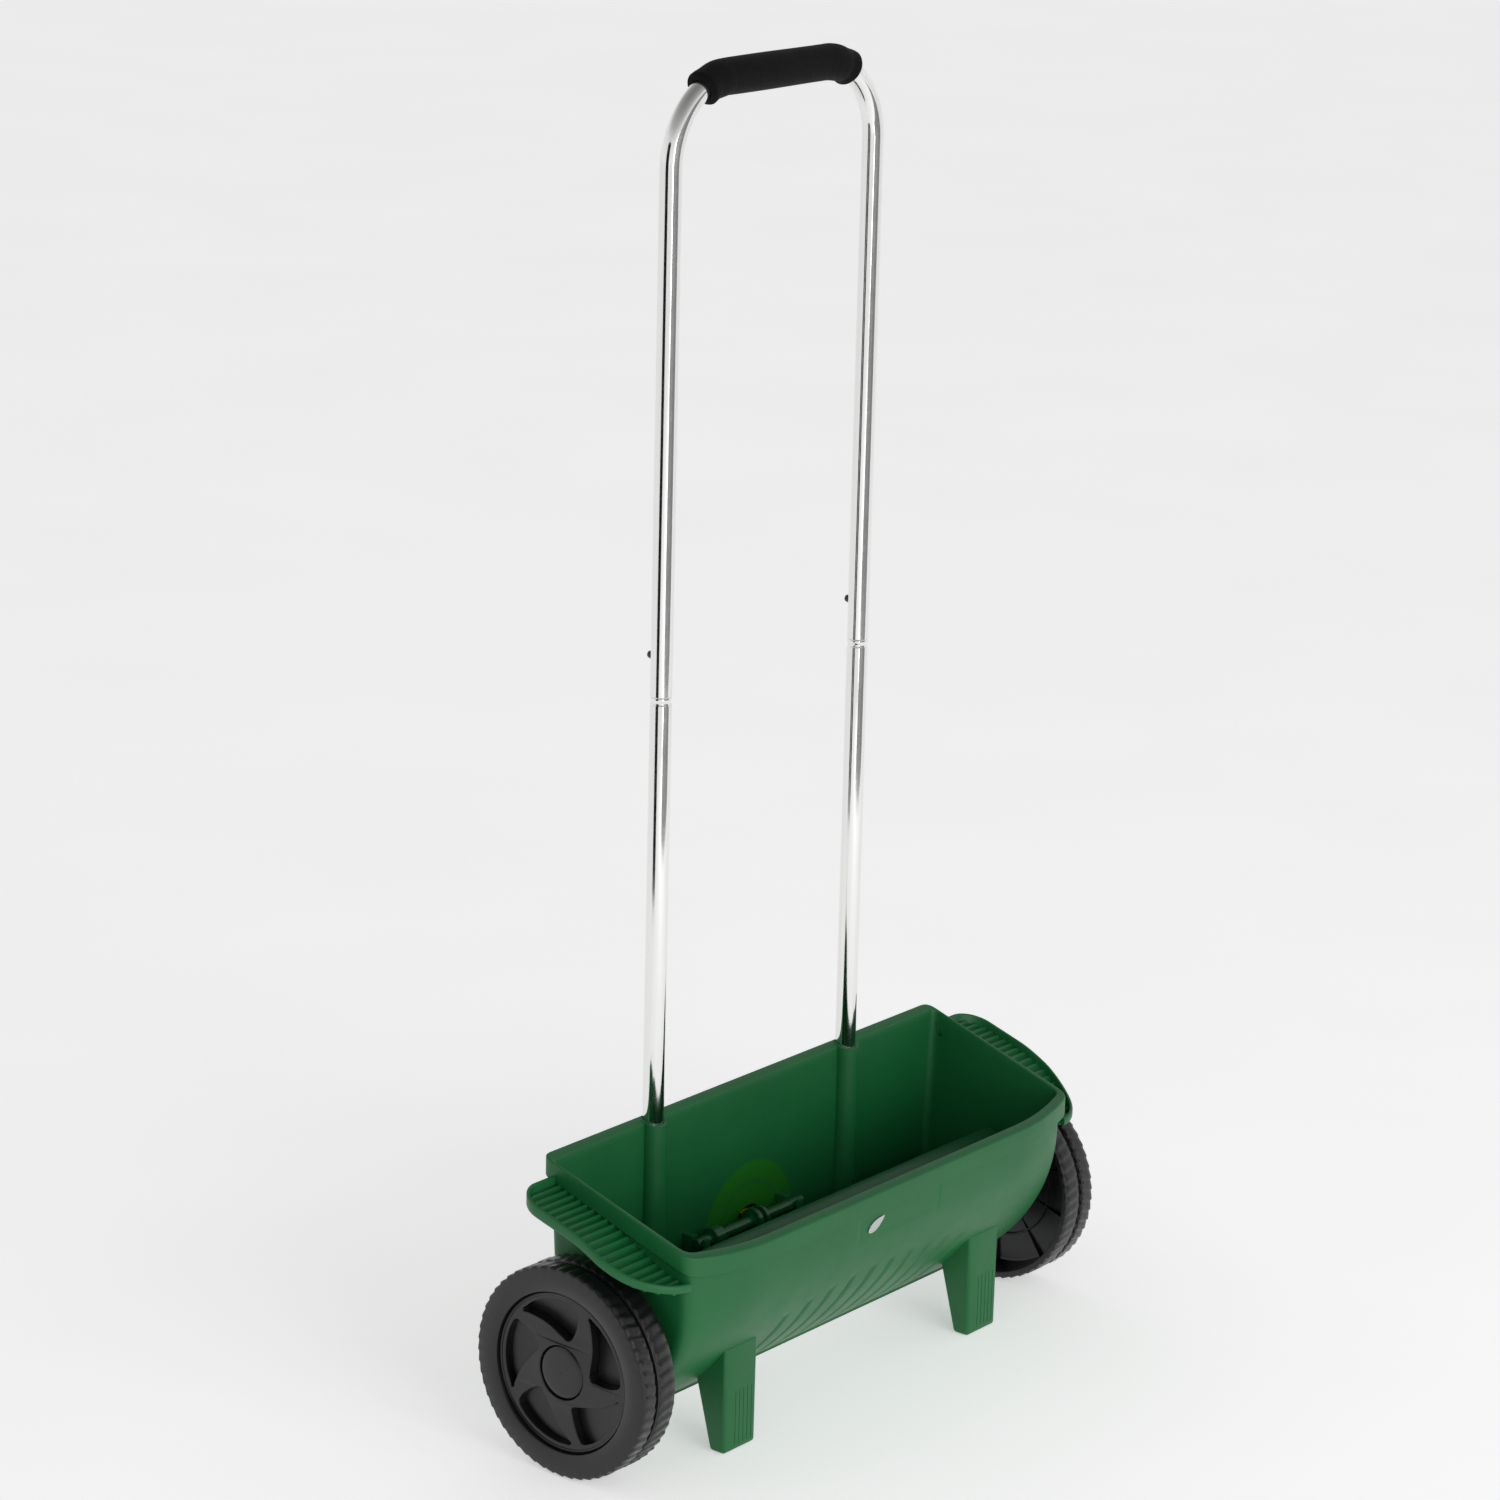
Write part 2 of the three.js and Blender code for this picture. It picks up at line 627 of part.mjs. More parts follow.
// ---------------------------------------------------------------- flow spindle, dial and shutter

const SHUTTER_TOP = FLOOR_Z - GAP;
const SHUTTER_LOW = SHUTTER_TOP - SHUTTER_THICK;
const OUTLET_TOP = SHUTTER_LOW - GAP;
const OUTLET_LOW = OUTLET_TOP - OUTLET_BASE;
const COLLAR_X = -CRANK_TRAVEL / 2; // the grooved collar follows the crank pin, which starts here

function buildSpindle() {
  const from = SADDLE_XS[0] - SADDLE_HALF - 2;
  const to = SADDLE_XS[1] + SADDLE_HALF + 6;
  const shaft = rod("x", from, to, SPINDLE_Y, SPINDLE_Z, SPINDLE_RADIUS);
  const collar = rod("x", COLLAR_X - 6, COLLAR_X + 6, SPINDLE_Y, SPINDLE_Z, SPINDLE_COLLAR);
  const grooveHalf = CRANK_PIN + GAP * 2;
  const groove = cut(
    rod("x", COLLAR_X - grooveHalf, COLLAR_X + grooveHalf, SPINDLE_Y, SPINDLE_Z, SPINDLE_COLLAR + 1),
    rod("x", COLLAR_X - 7, COLLAR_X + 7, SPINDLE_Y, SPINDLE_Z, SPINDLE_COLLAR - 3.5),
  );
  const armX = [SPINDLE_ARM_X - ARM_HALF - 1, SPINDLE_ARM_X + ARM_HALF + 1];
  const armCollar = rod("x", ...armX, SPINDLE_Y, SPINDLE_Z, SPINDLE_COLLAR - 1.5);
  const arm = box(
    SPINDLE_ARM_X - ARM_HALF,
    SPINDLE_ARM_X + ARM_HALF,
    ...ARM_Y,
    SHUTTER_LOW - 1,
    SPINDLE_Z,
  );
  return join(shaft, cut(collar, groove), armCollar, arm);
}

addNode("flow_spindle", buildSpindle(), "darkGreen");

const SCALE_BACK_Y = REAR_WALL_Y + GAP;
const DIAL_BACK_Y = SCALE_BACK_Y + SCALE_THICK + GAP;

function buildDialScale() {
  const plate = rod("y", SCALE_BACK_Y, SCALE_BACK_Y + SCALE_THICK, 0, DIAL_Z, SCALE_RADIUS, 48);
  const hole = rod("y", SCALE_BACK_Y - 1, DIAL_BACK_Y, 0, DIAL_Z, DIAL_SHAFT + GAP);
  return cut(plate, hole, crankSlot(SCALE_BACK_Y - 1, DIAL_BACK_Y));
}

function buildDial() {
  const thick = 6;
  const front = DIAL_BACK_Y + thick;
  const shaftEnd = REAR_INNER_Y - 1;
  const knob = rod("y", DIAL_BACK_Y, front, 0, DIAL_Z, DIAL_RADIUS, 40);
  const barHalf = 5;
  const bar = box(-barHalf, barHalf, front - 1, front + 8, DIAL_Z - 22, DIAL_Z + 25);
  const shaft = rod("y", shaftEnd, DIAL_BACK_Y + 1, 0, DIAL_Z, DIAL_SHAFT);
  const screwHole = rod("y", shaftEnd - 1, DIAL_BACK_Y + 3, 0, DIAL_Z, SMALL_SCREW + GAP, 12);
  const angle = radians(CRANK_START);
  const pinX = -CRANK_RADIUS * Math.sin(angle);
  const pinZ = DIAL_Z + CRANK_RADIUS * Math.cos(angle);
  const pinEnd = SPINDLE_Y + SPINDLE_COLLAR - 3;
  const pin = rod("y", pinEnd, DIAL_BACK_Y + 1, pinX, pinZ, CRANK_PIN, 16);
  return cut(join(knob, bar, shaft, pin), screwHole);
}

function buildDialScrew() {
  const seat = REAR_INNER_Y - 1 - GAP - 1 - GAP;
  const head = rod("y", seat - 2.2, seat, 0, DIAL_Z, 4.5);
  return join(head, rod("y", seat - 1, DIAL_BACK_Y + 2, 0, DIAL_Z, SMALL_SCREW, 12));
}

function buildDialWasher() {
  const back = REAR_INNER_Y - 1 - GAP;
  return cut(
    rod("y", back - 1, back, 0, DIAL_Z, 8),
    rod("y", back - 2, back + 1, 0, DIAL_Z, SMALL_SCREW + GAP, 12),
  );
}

addNode("dial_scale", buildDialScale(), "yellow");
addNode("flow_dial", buildDial(), "black");
addNode("dial_screw", buildDialScrew(), "steel");
addNode("dial_washer", buildDialWasher(), "steel");

const SHUTTER_Y = [SLOT_Y - SHUTTER_WIDTH / 2, SLOT_Y + SHUTTER_WIDTH / 2];
const SLOT_REACH = ((SLOT_COUNT - 1) / 2) * SLOT_PITCH + SLOT_LENGTH / 2;
const TAB_HALF = ARM_HALF + 8;

function buildShutter() {
  const left = -SLOT_REACH - SHUTTER_OFFSET - 3;
  const right = SLOT_REACH + 3;
  const strip = box(left, right, ...SHUTTER_Y, SHUTTER_LOW, SHUTTER_TOP);
  const tab = box(
    SPINDLE_ARM_X - TAB_HALF,
    SPINDLE_ARM_X + TAB_HALF,
    SHUTTER_Y[1] - 1,
    ARM_Y[1] + 4,
    SHUTTER_LOW,
    SHUTTER_TOP,
  );
  const notch = box(
    SPINDLE_ARM_X - ARM_HALF - GAP,
    SPINDLE_ARM_X + ARM_HALF + GAP,
    ARM_Y[0] - GAP,
    ARM_Y[1] + GAP,
    SHUTTER_LOW - 1,
    SHUTTER_TOP + 1,
  );
  const slots = meteringSlots(-SHUTTER_OFFSET, SHUTTER_LOW - 1, SHUTTER_TOP + 1);
  return cut(join(strip, tab), notch, ...slots);
}

// The frame under the floor that the shutter slides in, with one long window for the seed.
function buildOutletPlate() {
  const rail = [SHUTTER_Y[0] - GAP, SHUTTER_Y[1] + GAP];
  const outer = [rail[0] - OUTLET_RAIL, rail[1] + OUTLET_RAIL];
  const half = OUTLET_SCREW_X + 7;
  const base = box(-half, half, ...outer, OUTLET_LOW, OUTLET_TOP);
  const frontRail = box(-half, half, outer[0], rail[0], OUTLET_TOP - 1, SHUTTER_TOP);
  const rearRail = box(-half, half, rail[1], outer[1], OUTLET_TOP - 1, SHUTTER_TOP);
  const tabRun = box(
    SPINDLE_ARM_X - TAB_HALF - GAP * 2,
    SPINDLE_ARM_X + TAB_HALF + CRANK_TRAVEL + GAP * 2,
    rail[1] - 1,
    outer[1] + 1,
    OUTLET_TOP,
    SHUTTER_TOP + 1,
  );
  const screwHoles = outletScrewPlaces().map(([x, y]) =>
    rod("z", OUTLET_LOW - 1, SHUTTER_TOP + 1, x, y, OUTLET_SCREW + GAP, 12),
  );
  const windowHalf = SLOT_WIDTH / 2 + 1;
  const window = box(
    -SLOT_REACH - 1,
    SLOT_REACH + 1,
    SLOT_Y - windowHalf,
    SLOT_Y + windowHalf,
    OUTLET_LOW - 1,
    OUTLET_TOP + 1,
  );
  return cut(join(base, frontRail, rearRail), tabRun, ...screwHoles, window);
}

function buildOutletScrew([x, y]) {
  const head = OUTLET_LOW - GAP;
  const shank = rod("z", head - 1, FLOOR_Z + 6, x, y, OUTLET_SCREW, 12);
  return join(rod("z", head - 1.8, head, x, y, 3.2, 16), shank);
}

addNode("shutter_plate", buildShutter(), "black");
addNode("outlet_plate", buildOutletPlate(), "green");
outletScrewPlaces().forEach((place, i) => {
  addNode(`outlet_screw_${i + 1}`, buildOutletScrew(place), "steel");
});

// ---------------------------------------------------------------- axle, agitator and wheels

const AXLE_END = WHEEL_FACE_X - HUB_SEAT_DEPTH + 4;
const DRIVE_PIN_RADIUS = 1.8;
const DRIVE_PIN_X = -(WHEEL_INNER_X + 2.6);
const DRIVE_PIN_HALF = 9.4;
const AGITATOR_HALF = OUTLET_SCREW_X - 5;
const AGITATOR_PIN_X = AGITATOR_HALF - 12;

function buildAxle() {
  const shaft = rod("x", -AXLE_END, AXLE_END, 0, AXLE_Z, AXLE_RADIUS);
  const crossHole = (x, radius) => rod("z", AXLE_Z - 10, AXLE_Z + 10, x, 0, radius + GAP, 12);
  return cut(shaft, crossHole(DRIVE_PIN_X, DRIVE_PIN_RADIUS), crossHole(AGITATOR_PIN_X, AGITATOR_PIN));
}

function buildAgitator() {
  const fingers = [];
  for (let i = 0; i < SLOT_COUNT; i++) {
    const x = (i - (SLOT_COUNT - 1) / 2) * SLOT_PITCH;
    const upright = i % 2 === 0;
    const reachY = upright ? FINGER_HALF_THICK : AGITATOR_RADIUS;
    const reachZ = upright ? AGITATOR_RADIUS : FINGER_HALF_THICK;
    const left = x - FINGER_HALF_WIDTH;
    const right = x + FINGER_HALF_WIDTH;
    fingers.push(box(left, right, -reachY, reachY, AXLE_Z - reachZ, AXLE_Z + reachZ));
  }
  const hub = rod("x", -AGITATOR_HALF, AGITATOR_HALF, 0, AXLE_Z, AGITATOR_HUB, 20);
  const bore = rod("x", -AGITATOR_HALF - 1, AGITATOR_HALF + 1, 0, AXLE_Z, AXLE_RADIUS + GAP);
  const pinHole = rod("z", AXLE_Z - 12, AXLE_Z + 12, AGITATOR_PIN_X, 0, AGITATOR_PIN + GAP, 12);
  return cut(join(hub, ...fingers), bore, pinHole);
}

addNode("axle", buildAxle(), "steel");
addNode("agitator", buildAgitator(), "black");
const agitatorPin = rod("z", AXLE_Z - 8.5, AXLE_Z + 8.5, AGITATOR_PIN_X, 0, AGITATOR_PIN, 12);
addNode("agitator_pin", agitatorPin, "steel");
const drivePinZ = [AXLE_Z - DRIVE_PIN_HALF, AXLE_Z + DRIVE_PIN_HALF];
const drivePin = rod("z", ...drivePinZ, DRIVE_PIN_X, 0, DRIVE_PIN_RADIUS, 12);
addNode("drive_pin", drivePin, "steel");

// The wheel, with its inner face at station 0 and its outer face at station WHEEL_WIDTH.
function buildWheel(driven) {
  const face = WHEEL_WIDTH;
  const seat = face - HUB_SEAT_DEPTH;
  const tread = WHEEL_RADIUS;
  const groove = tread - 4.5;
  const ring = FACE_RING_RADIUS;
  const hub = HUB_SEAT_RADIUS;
  const wheel = turned(
    [
      [AXLE_RADIUS + GAP, 0],
      [12, 0],
      [12, seat - 4],
      [hub + 4, seat - 4],
      [hub + 7, face - 13],
      [tread - 9, face - 13],
      [tread - 6, 0],
      [tread - 1, 0],
      [tread, 1],
      [tread, 0.5 * face],
      [groove, 0.52 * face],
      [groove, 0.6 * face],
      [tread, 0.62 * face],
      [tread, face - 1.5],
      [tread - 1.5, face],
      [ring, face],
      [ring - 1, face - 3],
      [ring - 4, face - 4],
      [ring - 6, face - 8],
      [hub + 6, face - 8],
      [hub + 3.5, face - 4],
      [hub, face - 4],
      [hub, seat],
      [AXLE_RADIUS + GAP, seat],
    ],
    "x",
    40,
  );
  const reach = DRIVE_PIN_HALF + GAP * 2;
  const half = DRIVE_PIN_RADIUS + GAP;
  return driven ? cut(wheel, box(-1, 2.6 + half, -half, half, -reach, reach)) : wheel;
}

function buildHubCap() {
  const wall = 1.6;
  const rim = HUB_SEAT_RADIUS - GAP;
  const low = WHEEL_WIDTH - HUB_SEAT_DEPTH + GAP + 1.5;
  const top = WHEEL_WIDTH - 1.5;
  return turned(
    [
      [rim, low],
      [rim, top - 5],
      [rim - 1.5, top - 3.4],
      [rim * 0.72, top - 1.2],
      [rim * 0.4, top - 0.2],
      [0, top],
      [0, top - wall],
      [rim * 0.7, top - wall - 1.2],
      [rim - wall - 1, top - wall - 3.6],
      [rim - wall, low],
    ],
    "x",
    36,
  );
}

// A bush in the end wall: a sleeve with a flange outside, which also keeps the wheel away.
function buildAxleBush() {
  const wallX = halfLengthAt(AXLE_Z);
  const bore = AXLE_RADIUS + GAP;
  const outer = WHEEL_INNER_X - WASHER_THICK - 2 * GAP;
  return turned(
    [
      [bore, wallX - 6],
      [BUSH_RADIUS, wallX - 6],
      [BUSH_RADIUS, wallX + GAP + 0.6],
      [BUSH_RADIUS + 5, wallX + GAP + 0.6],
      [BUSH_RADIUS + 5, wallX + GAP + 2.6],
      [BUSH_RADIUS + 1, wallX + GAP + 3.2],
      [BUSH_RADIUS + 1, outer],
      [bore, outer],
    ],
    "x",
    28,
  );
}

function buildRing(from, thick, radius) {
  const bore = AXLE_RADIUS + GAP;
  return turned(
    [
      [bore, from],
      [radius, from],
      [radius, from + thick],
      [bore, from + thick],
    ],
    "x",
    28,
  );
}

for (const [name, side] of SIDES) {
  const turn = side > 0 ? 0 : Math.PI;
  const onAxle = { z: AXLE_Z, turn };
  const atWheel = { x: side * WHEEL_INNER_X, z: AXLE_Z, turn };
  const clipFrom = AXLE_END - 3.4;
  addNode(`axle_bush_${name}`, buildAxleBush(), "nylon", onAxle);
  const washer = buildRing(WHEEL_INNER_X - WASHER_THICK - GAP, WASHER_THICK, 11);
  addNode(`wheel_washer_${name}`, washer, "steel", onAxle);
  addNode(`wheel_${name}`, buildWheel(side < 0), "black", atWheel);
  addNode(`axle_clip_${name}`, buildRing(clipFrom, 1, 8.5), "steel", onAxle);
  addNode(`hub_cap_${name}`, buildHubCap(), "black", atWheel);
}

// ---------------------------------------------------------------- handle

const TUBE_INNER = TUBE_RADIUS - TUBE_WALL;
const NECK_RADIUS = TUBE_INNER - GAP;
const NECK_INNER = NECK_RADIUS - TUBE_WALL;
const UPPER_FOOT_Z = TUBE_JOINT_Z + GAP;

function buttonHole(x, radius) {
  return rod("y", HANDLE_Y, HANDLE_Y + TUBE_RADIUS + 2, x, BUTTON_Z, radius, 16);
}

function buildLowerTube(side) {
  const tube = turned(
    [
      [TUBE_INNER, TUBE_FOOT_Z],
      [TUBE_RADIUS, TUBE_FOOT_Z],
      [TUBE_RADIUS, TUBE_JOINT_Z - 2],
      [TUBE_RADIUS - 0.6, TUBE_JOINT_Z],
      [NECK_RADIUS, TUBE_JOINT_Z + GAP],
      [NECK_RADIUS, TUBE_JOINT_Z + NECK_LENGTH],
      [NECK_INNER, TUBE_JOINT_Z + NECK_LENGTH],
      [NECK_INNER, TUBE_JOINT_Z - 4],
      [TUBE_INNER, TUBE_JOINT_Z - 8],
    ],
    "z",
    24,
  );
  const screwHole = rod("y", 0, TUBE_RADIUS + 1, 0, TUBE_SCREW_Z, SMALL_SCREW + GAP, 12);
  const pinHole = rod("y", 0, TUBE_RADIUS + 1, 0, BUTTON_Z, BUTTON_RADIUS + GAP, 16);
  return cut(tube, screwHole, pinHole);
}

// Stations along the centre line of the handle: points with the outward normal of the line. The
// line runs over the cross piece and a sweep of each bend, and down to a foot when one is given.
function handleStations(sweep, footZ) {
  const centreX = HANDLE_X - BEND_RADIUS;
  const centreZ = HANDLE_TOP_Z - BEND_RADIUS;
  const right = [];
  for (let turn = 0; turn < sweep + BEND_STEP; turn += BEND_STEP) {
    const angle = radians(Math.min(turn, sweep));
    const normal = new THREE.Vector3(Math.sin(angle), 0, Math.cos(angle));
    const centre = new THREE.Vector3(centreX, HANDLE_Y, centreZ);
    right.push({ normal, point: centre.addScaledVector(normal, BEND_RADIUS) });
  }
  if (footZ !== undefined) {
    const normal = new THREE.Vector3(1, 0, 0);
    right.push({ normal, point: new THREE.Vector3(HANDLE_X, HANDLE_Y, footZ) });
  }
  const mirror = (v) => new THREE.Vector3(-v.x, v.y, v.z);
  const left = right.map(({ normal, point }) => ({ normal: mirror(normal), point: mirror(point) }));
  return [...left.reverse(), ...right];
}

// A round bar along the stations, closed by a fan at each end.
function sweptBar(stations, radius, sides) {
  const positions = [];
  const index = [];
  for (const { point, normal } of stations) {
    for (let i = 0; i < sides; i++) {
      const angle = (2 * Math.PI * i) / sides;
      const out = normal.clone().multiplyScalar(radius * Math.cos(angle));
      positions.push(point.x + out.x, point.y + radius * Math.sin(angle), point.z + out.z);
    }
  }
  for (let ring = 0; ring < stations.length - 1; ring++) {
    for (let i = 0; i < sides; i++) {
      const a = ring * sides + i;
      const b = ring * sides + ((i + 1) % sides);
      index.push(a, b + sides, b, a, a + sides, b + sides);
    }
  }
  const last = (stations.length - 1) * sides;
  for (let i = 1; i < sides - 1; i++) {
    index.push(0, i, i + 1, last, last + i + 1, last + i);
  }
  const geometry = new THREE.BufferGeometry();
  geometry.setAttribute("position", new THREE.Float32BufferAttribute(positions, 3));
  geometry.setIndex(index);
  return solidOf(geometry);
}

// A bent tube; its bore is cut a little past both ends.
function pipe(stations, outer, inner, sides) {
  const past = ({ point, normal }, way) => ({
    normal,
    point: new THREE.Vector3(point.x + way * normal.z, point.y, point.z - way * normal.x),
  });
  const bore = [past(stations[0], -1), ...stations, past(stations.at(-1), 1)];
  return cut(sweptBar(stations, outer, sides), sweptBar(bore, inner, sides));
}

function buildSnapButton() {
  const tip = TUBE_RADIUS + BUTTON_STANDS_OUT;
  return turned(
    [
      [0, NECK_INNER - BUTTON_FLANGE],
      [BUTTON_RADIUS, NECK_INNER - BUTTON_FLANGE],
      [BUTTON_RADIUS, tip - 1.4],
      [BUTTON_RADIUS - 0.8, tip - 0.4],
      [0, tip],
    ],
    "y",
    20,
  );
}

// The hairpin strip that pushes the button out: one leg against the button, the other against the
// opposite wall of the neck.
function buildSnapSpring(x) {
  const front = NECK_INNER - BUTTON_FLANGE - GAP;
  const back = -(NECK_INNER - GAP - 0.4);
  const strip = 0.6;
  const bend = -22;
  const outline = [
    [back, -6],
    [back, bend + 2],
    [back + 2, bend],
    [front - 2, bend],
    [front, bend + 2],
    [front, 5],
    [front - strip, 5],
    [front - strip, bend + 2.4],
    [front - 2.4, bend + strip],
    [back + 2.4, bend + strip],
    [back + strip, bend + 2.4],
    [back + strip, -6],
  ].map(([y, z]) => [HANDLE_Y + y, BUTTON_Z + z]);
  return prism(outline, x - 2.5, x + 2.5);
}

const upperHoles = SIDES.map(([, side]) => buttonHole(side * HANDLE_X, BUTTON_RADIUS + GAP));
const upperPipe = pipe(handleStations(90, UPPER_FOOT_Z), TUBE_RADIUS, TUBE_INNER, 24);
addNode("handle_upper_tube", cut(upperPipe, ...upperHoles), "chrome");
addNode("foam_grip", pipe(handleStations(GRIP_SWEEP), GRIP_RADIUS, TUBE_RADIUS + GAP, 24), "foam");

for (const [name, side] of SIDES) {
  const x = side * HANDLE_X;
  addNode(`handle_lower_tube_${name}`, buildLowerTube(side), "chrome", { x, y: HANDLE_Y });
  addNode(`snap_button_${name}`, buildSnapButton(), "black", { x, y: HANDLE_Y, z: BUTTON_Z });
  addNode(`snap_spring_${name}`, buildSnapSpring(x), "steel");
  const seat = HANDLE_Y + SOCKET_RADIUS + GAP;
  const head = rod("y", seat, seat + 2, x, TUBE_SCREW_Z, 3.2, 16);
  const shank = rod("y", HANDLE_Y + TUBE_INNER - 2, seat + 1, x, TUBE_SCREW_Z, SMALL_SCREW, 12);
  addNode(`tube_screw_${name}`, join(head, shank), "steel");
}

// ---------------------------------------------------------------- badge

// A plain leaf on the front wall.
function buildBadge() {
  const leaf = new THREE.Shape();
  leaf.moveTo(-11, 0);
  leaf.quadraticCurveTo(-2, 8, 11, 0);
  leaf.quadraticCurveTo(-2, -8, -11, 0);
  const options = { depth: 0.7, bevelEnabled: false, curveSegments: 8 };
  const geometry = new THREE.ExtrudeGeometry(leaf, options);
  geometry.rotateZ(radians(24)).rotateX(Math.PI / 2);
  return solidOf(geometry);
}

addNode("leaf_badge", buildBadge(), "silver", { x: -24, y: FRONT_WALL_Y - GAP, z: 146 });

export default spreader;
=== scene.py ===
"""Looks of a garden drop spreader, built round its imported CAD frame. Metres, +Z up, -Y to the front."""
import json
import math
import random

import bmesh
import bpy
from mathutils import Matrix, Vector


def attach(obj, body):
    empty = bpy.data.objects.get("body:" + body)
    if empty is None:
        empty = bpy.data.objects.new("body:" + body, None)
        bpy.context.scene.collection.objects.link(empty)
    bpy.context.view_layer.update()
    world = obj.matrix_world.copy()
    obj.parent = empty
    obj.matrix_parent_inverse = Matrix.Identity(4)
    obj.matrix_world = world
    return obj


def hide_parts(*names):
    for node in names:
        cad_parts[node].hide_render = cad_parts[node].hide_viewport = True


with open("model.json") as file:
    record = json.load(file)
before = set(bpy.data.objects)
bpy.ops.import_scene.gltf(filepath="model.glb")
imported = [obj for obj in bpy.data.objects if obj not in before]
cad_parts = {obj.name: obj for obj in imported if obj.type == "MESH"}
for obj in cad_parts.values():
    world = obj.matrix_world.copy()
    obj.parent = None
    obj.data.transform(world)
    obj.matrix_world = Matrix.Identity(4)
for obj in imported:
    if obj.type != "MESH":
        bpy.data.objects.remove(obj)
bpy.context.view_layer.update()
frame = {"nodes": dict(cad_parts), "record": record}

MM = 0.001
AXLE_Y = 8.0  # the axle, in millimetres of the row frame; every Y below is counted from the axle

# ---------------------------------------------------------------- sizes, in millimetres from the axle

HOPPER_HALF = 231.0
REAR_RIM_Y = 58.0
FRONT_RIM_Y = -96.0
REAR_RIM_Z = 220.6
RIM_SLOPE = 0.31
SKIRT_HEIGHT = 15.0
WALL = 2.6
FLOOR_Z = 32.0
END_DRAFT = 0.064
BELLY_RADIUS = 139.0
BELLY_TOP_Z = 150.0
REAR_CORNER = 24.0
PLAN_CORNER = 9.0
BOW_STRAIGHT = 150.0
BOW_RADIUS = 240.0
BOW_LOW = 35.0
BOW_HIGH = 140.0
FRONT_WALL_Y = FRONT_RIM_Y + 5.0
REAR_WALL_Y = REAR_RIM_Y - 6.0
WIDE_TOP = 260.0

FLUTES = 10
FLUTE_PITCH = 23.8
FLUTE_DEPTH = 1.9
LABEL = (-45.0, 55.0, 137.0, 157.0)  # the label recess: X from and to, Z from and to

TRAY_REACH = 273.5
TRAY_REAR_Y = 47.0
TRAY_FRONT_Y = -82.0
TRAY_BELOW_RIM = 9.5
TRAY_DIP = 10.0
TRAY_LIP = 7.0
TRAY_WALL = 2.5
TRAY_CORNER = 22.0
TRAY_RIBS = 19
TRAY_ROOT = HOPPER_HALF - 3.0  # the tray starts inside the end wall
TRAY_FRONT_ROUND = 52.0

LEG_X = 149.0
LEG_WIDTH = 37.0
LEG_FRONT_Y = -66.0
LEG_TOP_Z = 84.0
LEG_REAR_Y = (-52.0, -30.0)  # at the foot and at the top
LEG_WALL = 3.0
LEG_POCKET_TOP = 24.0
LEG_GROOVES = 5
LEG_GROOVE_PITCH = 4.6
LEG_GROOVE_DEPTH = 0.22

HANDLE_X = 115.7
HANDLE_Y = 50.0
TUBE_R = 8.0
SOCKET_R = 10.5
BORE_R = 8.3
TUBE_JOINT_Z = 543.0
BEND_R = 60.0
HANDLE_TOP_Z = 984.3
GRIP_R = 13.5
GRIP_SWEEP = math.radians(28)
BUTTON_Z = 572.0
BUTTON_HOLE_R = 3.3

WHEEL_W = 35.0
WHEEL_IN_X = 240.0
AXLE_Z = 80.0
TREAD_TEETH = 56

BAR_Y, BAR_Z = -22.5, 125.5
SPINDLE_Y, SPINDLE_Z = 34.0, 112.5
KNUCKLE_X = -60.0  # the thick stretch of the spindle that carries the arm
DIAL_Z = 99.5
SCALE_R = 53.0
KNOB_R = 28.0
DIAL_SIDES = 128
CRANK_R = 15.5
CRANK_HALF = math.radians(40)  # the crank swings this far to each side of the top
CRANK_SLOT_HALF = 2.4
SLOTS = 10
SLOT_PITCH = 36.0
SLOT_Y = 7.0


def at(x, y, z):
    """A point in metres of the row frame from millimetres counted from the axle."""
    return Vector((x * MM, (y + AXLE_Y) * MM, z * MM))


def smooth(t):
    t = min(1.0, max(0.0, t))
    return t * t * (3 - 2 * t)


# ---------------------------------------------------------------- materials


class Nodes:
    """A small helper that wires a Principled material."""

    def __init__(self, name):
        self.material = bpy.data.materials.new(name)
        self.material.use_nodes = True
        self.tree = self.material.node_tree
        self.shader = self.tree.nodes["Principled BSDF"]
        coords = self.tree.nodes.new("ShaderNodeTexCoord")
        self.coords = coords.outputs["Object"]

    def new(self, kind, **values):
        node = self.tree.nodes.new(kind)
        for key, value in values.items():
            if hasattr(node, key):
                setattr(node, key, value)
            else:
                node.inputs[key].default_value = value
        return node

    def link(self, out, into):
        self.tree.links.new(out, into)

    def noise(self, scale, detail=3.0, rough=0.5, vector=None):
        node = self.new("ShaderNodeTexNoise", Scale=scale, Detail=detail, Roughness=rough)
        self.link(vector or self.coords, node.inputs["Vector"])
        return node.outputs["Fac"]

    def ramp(self, value, stops):
        node = self.new("ShaderNodeValToRGB")
        ramp = node.color_ramp
        while len(ramp.elements) < len(stops):
            ramp.elements.new(0.5)
        for element, (place, colour) in zip(ramp.elements, stops):
            element.position = place
            element.color = (*colour, 1.0) if len(colour) == 3 else colour
        self.link(value, node.inputs["Fac"])
        return node.outputs["Color"]

    def spread(self, value, low, high):
        node = self.new("ShaderNodeMapRange")
        node.inputs["From Min"].default_value = 0.3
        node.inputs["From Max"].default_value = 0.7
        node.inputs["To Min"].default_value = low
        node.inputs["To Max"].default_value = high
        self.link(value, node.inputs["Value"])
        return node.outputs["Result"]

    def bump(self, height, strength, distance, under=None):
        node = self.new("ShaderNodeBump", Strength=strength, Distance=distance)
        self.link(height, node.inputs["Height"])
        if under is not None:
            self.link(under, node.inputs["Normal"])
        return node.outputs["Normal"]

    def finish(self, **sockets):
        for name, value in sockets.items():
            self.shader.inputs[name.replace("_", " ")].default_value = value
        return self.material


def shade(colour, factor):
    return tuple(min(1.0, c * factor) for c in colour)


